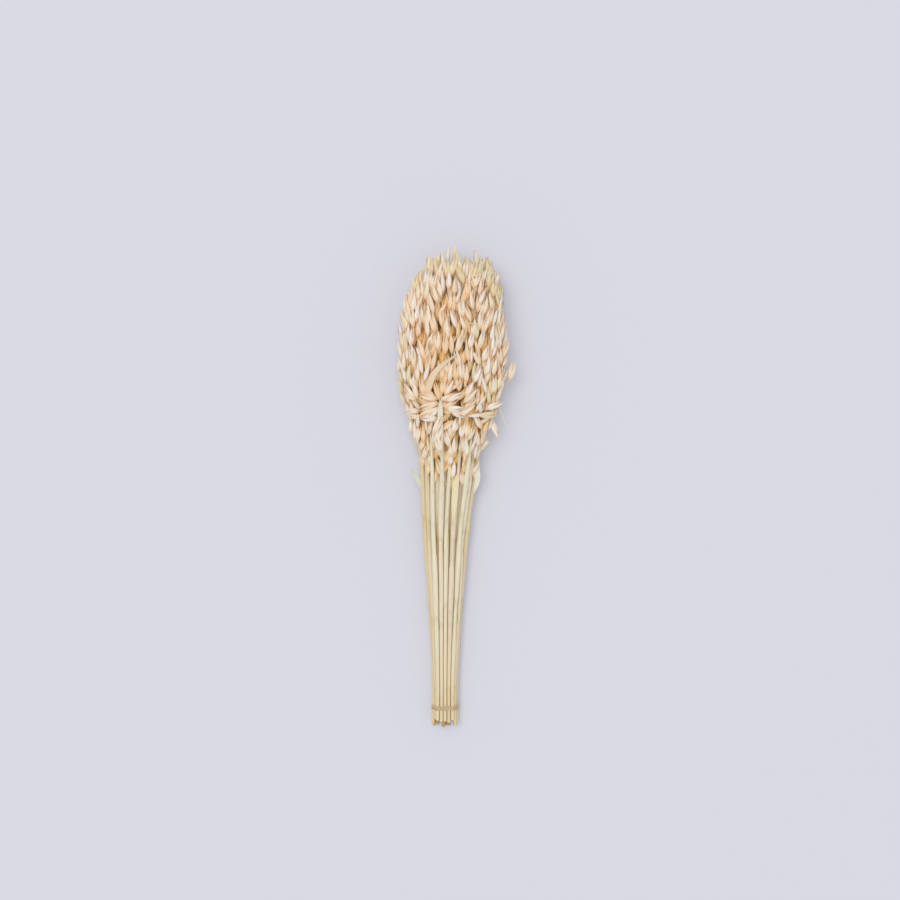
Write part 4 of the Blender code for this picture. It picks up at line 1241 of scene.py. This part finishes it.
def husk_material():
    """Papery glumes: cream, with some peach, straw-yellow and grey ones, fine nerves along them, and
    browner at the root and at the very tip, with painted shade that turns them orange-brown towards their
    edges and browner deep in the head."""
    s = Shader("husk", Sheen_Weight=0.10, Sheen_Roughness=0.5, Specular_IOR_Level=0.30)
    along, across, tone, age = (s.value(name) for name in Surface.VALUES)
    own = s.ramp(
        tone,
        (0.00, (0.84, 0.56, 0.31)),
        (0.15, (0.89, 0.67, 0.45)),
        (0.40, (0.91, 0.77, 0.60)),
        (0.65, (0.90, 0.83, 0.73)),
        (0.85, (0.90, 0.87, 0.80)),
        (0.92, (0.89, 0.78, 0.42)),
        (1.00, (0.66, 0.62, 0.33)),
    )
    blotches = s.fade(s.noise(55, (1, 0.5, 1), 4.0), 0.42, 0.72)
    blotched = s.stain(0.45, blotches, own, (0.86, 0.58, 0.36))
    nerves = s.math("ABSOLUTE", s.math("SINE", s.math("MULTIPLY", across, 10.5)))
    lines = s.fade(nerves, 0.55, 1.0)
    lined = s.stain(0.22, lines, blotched, (0.62, 0.50, 0.26))
    # Painted shade: orange-brown towards the glumes' edges, which lie in the gaps between husks
    edge_shaded = s.mix(s.fade(s.math("ABSOLUTE", across), 0.55, 1.0, 0.0, 0.45), lined, (0.86, 0.50, 0.22))
    rooted = s.mix(s.fade(along, 0.30, 0.0, 0.0, 0.75), edge_shaded, (0.76, 0.40, 0.13))
    tipped = s.mix(s.fade(along, 0.86, 1.0, 0.0, 0.45), rooted, (0.82, 0.54, 0.25))
    # Painted shade: browner deep in the head
    aged_and_shaded = s.stain(0.92, age, tipped, (0.89, 0.43, 0.07))
    streaks = s.noise(900, (1, 0.12, 1), 2.0)
    rough = s.fade(streaks, 0.2, 0.8, 0.48, 0.68)
    height = s.math("ADD", s.math("MULTIPLY", lines, 0.7), s.math("MULTIPLY", streaks, 0.5))
    return s.finish(aged_and_shaded, rough, height, 0.00012)


def floret_material():
    """The grains' own husks, tan and glossier than the glumes, with painted shade that browns them deep in
    the head.
    """
    s = Shader("floret", Specular_IOR_Level=0.45)
    along, tone, age = (s.value(name) for name in ("along", "tone", "age"))
    own = s.mix(tone, (0.66, 0.42, 0.19), (0.86, 0.68, 0.42))
    tipped = s.mix(s.fade(along, 0.5, 1.0, 0.0, 0.5), own, (0.88, 0.78, 0.58))
    # Painted shade: browner deep in the head
    aged_and_shaded = s.stain(0.7, age, tipped, (0.52, 0.29, 0.12))
    streaks = s.noise(1100, (1, 0.10, 1), 2.0)
    rough = s.fade(streaks, 0.2, 0.8, 0.38, 0.55)
    return s.finish(aged_and_shaded, rough, streaks, 0.00008)


def straw_material():
    """Stems and branches: pale straw with long streaks, pinkish and greenish stretches, paler where a
    sheath wraps round, and brown at the joints; with painted shade that browns them deep in the head, inside
    the bundle, where stems press together and inside the cut end."""
    s = Shader("straw", Specular_IOR_Level=0.32, Coat_Weight=0.05, Coat_Roughness=0.35)
    along, wrapped, tone, age = (s.value(name) for name in Surface.VALUES)
    own = s.ramp(
        tone,
        (0.00, (0.63, 0.46, 0.19)),
        (0.22, (0.66, 0.52, 0.28)),
        (0.40, (0.71, 0.56, 0.40)),
        (0.62, (0.74, 0.64, 0.44)),
        (0.85, (0.76, 0.70, 0.50)),
        (1.00, (0.69, 0.65, 0.40)),
    )
    golden = s.mix(s.fade(along, 0.36, 0.06, 0.0, 0.55), own, (0.68, 0.50, 0.22))
    sheathed = s.mix(s.fade(wrapped, 0.0, 0.5, 0.0, 0.20), golden, (0.80, 0.72, 0.52))
    patches = s.fade(s.noise(26, (1, 0.35, 1), 3.0), 0.50, 0.72)
    patched = s.stain(0.5, patches, sheathed, (0.76, 0.57, 0.41))
    streaks = s.noise(520, (1, 0.03, 1), 3.0)
    streaked = s.mix(s.fade(streaks, 0.48, 0.72, 0.0, 0.6), patched, (0.60, 0.43, 0.18))
    # Brown stains at the joints and painted shade, by the same value
    stained_and_shaded = s.stain(0.92, age, streaked, (0.37, 0.18, 0.005))
    rough = s.fade(streaks, 0.25, 0.75, 0.36, 0.55)
    return s.finish(stained_and_shaded, rough, streaks, 0.00018)


def leaf_material():
    """Dry blades: cream to tan with parallel veins and a paler middle."""
    s = Shader("leaf", Sheen_Weight=0.10, Sheen_Roughness=0.5, Specular_IOR_Level=0.35)
    across, tone = (s.value(name) for name in ("across", "tone"))
    own = s.ramp(
        tone,
        (0.0, (0.90, 0.64, 0.40)),
        (0.4, (0.90, 0.78, 0.44)),
        (0.8, (0.86, 0.84, 0.66)),
        (1.0, (0.88, 0.88, 0.76)),
    )
    veins = s.fade(s.math("ABSOLUTE", s.math("SINE", s.math("MULTIPLY", across, 16))), 0.5, 1.0)
    veined = s.stain(0.35, veins, own, (0.62, 0.46, 0.25))
    middle = s.mix(s.fade(s.math("ABSOLUTE", across), 0.16, 0.0, 0.0, 0.5), veined, (0.92, 0.84, 0.66))
    blotched = s.mix(s.fade(s.noise(70, (1, 0.6, 1), 4.0), 0.5, 0.75, 0.0, 0.3), middle, (0.70, 0.50, 0.28))
    streaks = s.noise(700, (1, 0.2, 1), 2.0)
    height = s.math("ADD", veins, s.math("MULTIPLY", streaks, 0.4))
    return s.finish(blotched, s.fade(streaks, 0.2, 0.8, 0.5, 0.7), height, 0.00015)


def rubber_material():
    """Tan elastic with fine lines round it and a dusting that dulls it."""
    s = Shader("rubber", Specular_IOR_Level=0.4, Subsurface_Weight=0.1, Subsurface_Scale=0.001)
    tone = s.value("tone")
    dust = s.noise(400, (1, 1, 1), 4.0)
    own = s.mix(tone, (0.46, 0.29, 0.13), (0.56, 0.37, 0.18))
    dusted = s.mix(s.fade(dust, 0.45, 0.75, 0.0, 0.4), own, (0.66, 0.54, 0.38))
    lines = s.noise(900, (0.08, 1, 0.08), 2.0)
    return s.finish(dusted, s.fade(dust, 0.3, 0.7, 0.42, 0.62), lines, 0.00010)


def table_material():
    """A plain pale, faintly blue table with a hardly visible tooth."""
    s = Shader("table", Specular_IOR_Level=0.3)
    tooth = s.noise(60, (1, 1, 1), 5.0)
    colour = s.mix(tooth, (0.60, 0.61, 0.72), (0.62, 0.63, 0.74))
    return s.finish(colour, s.fade(tooth, 0.2, 0.8, 0.62, 0.75), tooth, 0.0002)


def build_table():
    bpy.ops.mesh.primitive_plane_add(size=TABLE_SIZE, location=(0, 0, 0))
    table = bpy.context.object
    table.name = "table"
    table.data.materials.append(table_material())


def build_sun():
    """A wide, soft light from above on the left."""
    light = bpy.data.lights.new("sun", "SUN")
    light.angle, light.energy, light.color = SUN_ANGLE, SUN_POWER, SUN_COLOUR
    lamp = bpy.data.objects.new("sun", light)
    lamp.location = SUN_PLACE
    lamp.rotation_euler = (-Vector(SUN_PLACE)).to_track_quat("-Z", "Y").to_euler()
    bpy.context.scene.collection.objects.link(lamp)


def build_studio(shift):
    """A soft light from above on the left, the sky's even light, and a camera that looks straight down."""
    scene = bpy.context.scene
    centre = Vector(PHOTO_CENTRE) + shift
    camera = bpy.data.cameras.new("camera")
    camera.lens, camera.sensor_width = LENS, SENSOR
    watcher = bpy.data.objects.new("camera", camera)
    watcher.location = centre + Vector((0, 0, PHOTO_SPAN * LENS / SENSOR))
    scene.collection.objects.link(watcher)
    scene.camera = watcher
    build_sun()
    world = bpy.data.worlds.new("sky")
    world.use_nodes = True
    sky = world.node_tree.nodes["Background"]
    sky.inputs["Color"].default_value = (*SKY_COLOUR, 1)
    sky.inputs["Strength"].default_value = SKY_STRENGTH
    scene.world = world
    scene.view_settings.view_transform = "Standard"
    scene.view_settings.exposure = EXPOSURE
    scene.view_settings.gamma = GAMMA
    scene.cycles.diffuse_bounces = DIFFUSE_BOUNCES


def place_of_layout():
    """How far the frame's place lies from that of the layout, by the band that both have."""
    low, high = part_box("band_elastic")
    return Vector(((low[0] + high[0]) / 2 - MIDDLE_X(BAND_Y), (low[1] + high[1]) / 2 - BAND_Y, 0))


def main():
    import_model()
    shift = place_of_layout()
    build_studio(shift)
    build_table()
    stalks, crowd = lay_out()
    fill_head(stalks, crowd)
    materials = [husk_material(), floret_material(), straw_material(), leaf_material()]
    for stalk in stalks:
        build_stalk(stalk, stalks, materials, np.array(shift))
    build_band(stalks, rubber_material(), np.array(shift))


main()
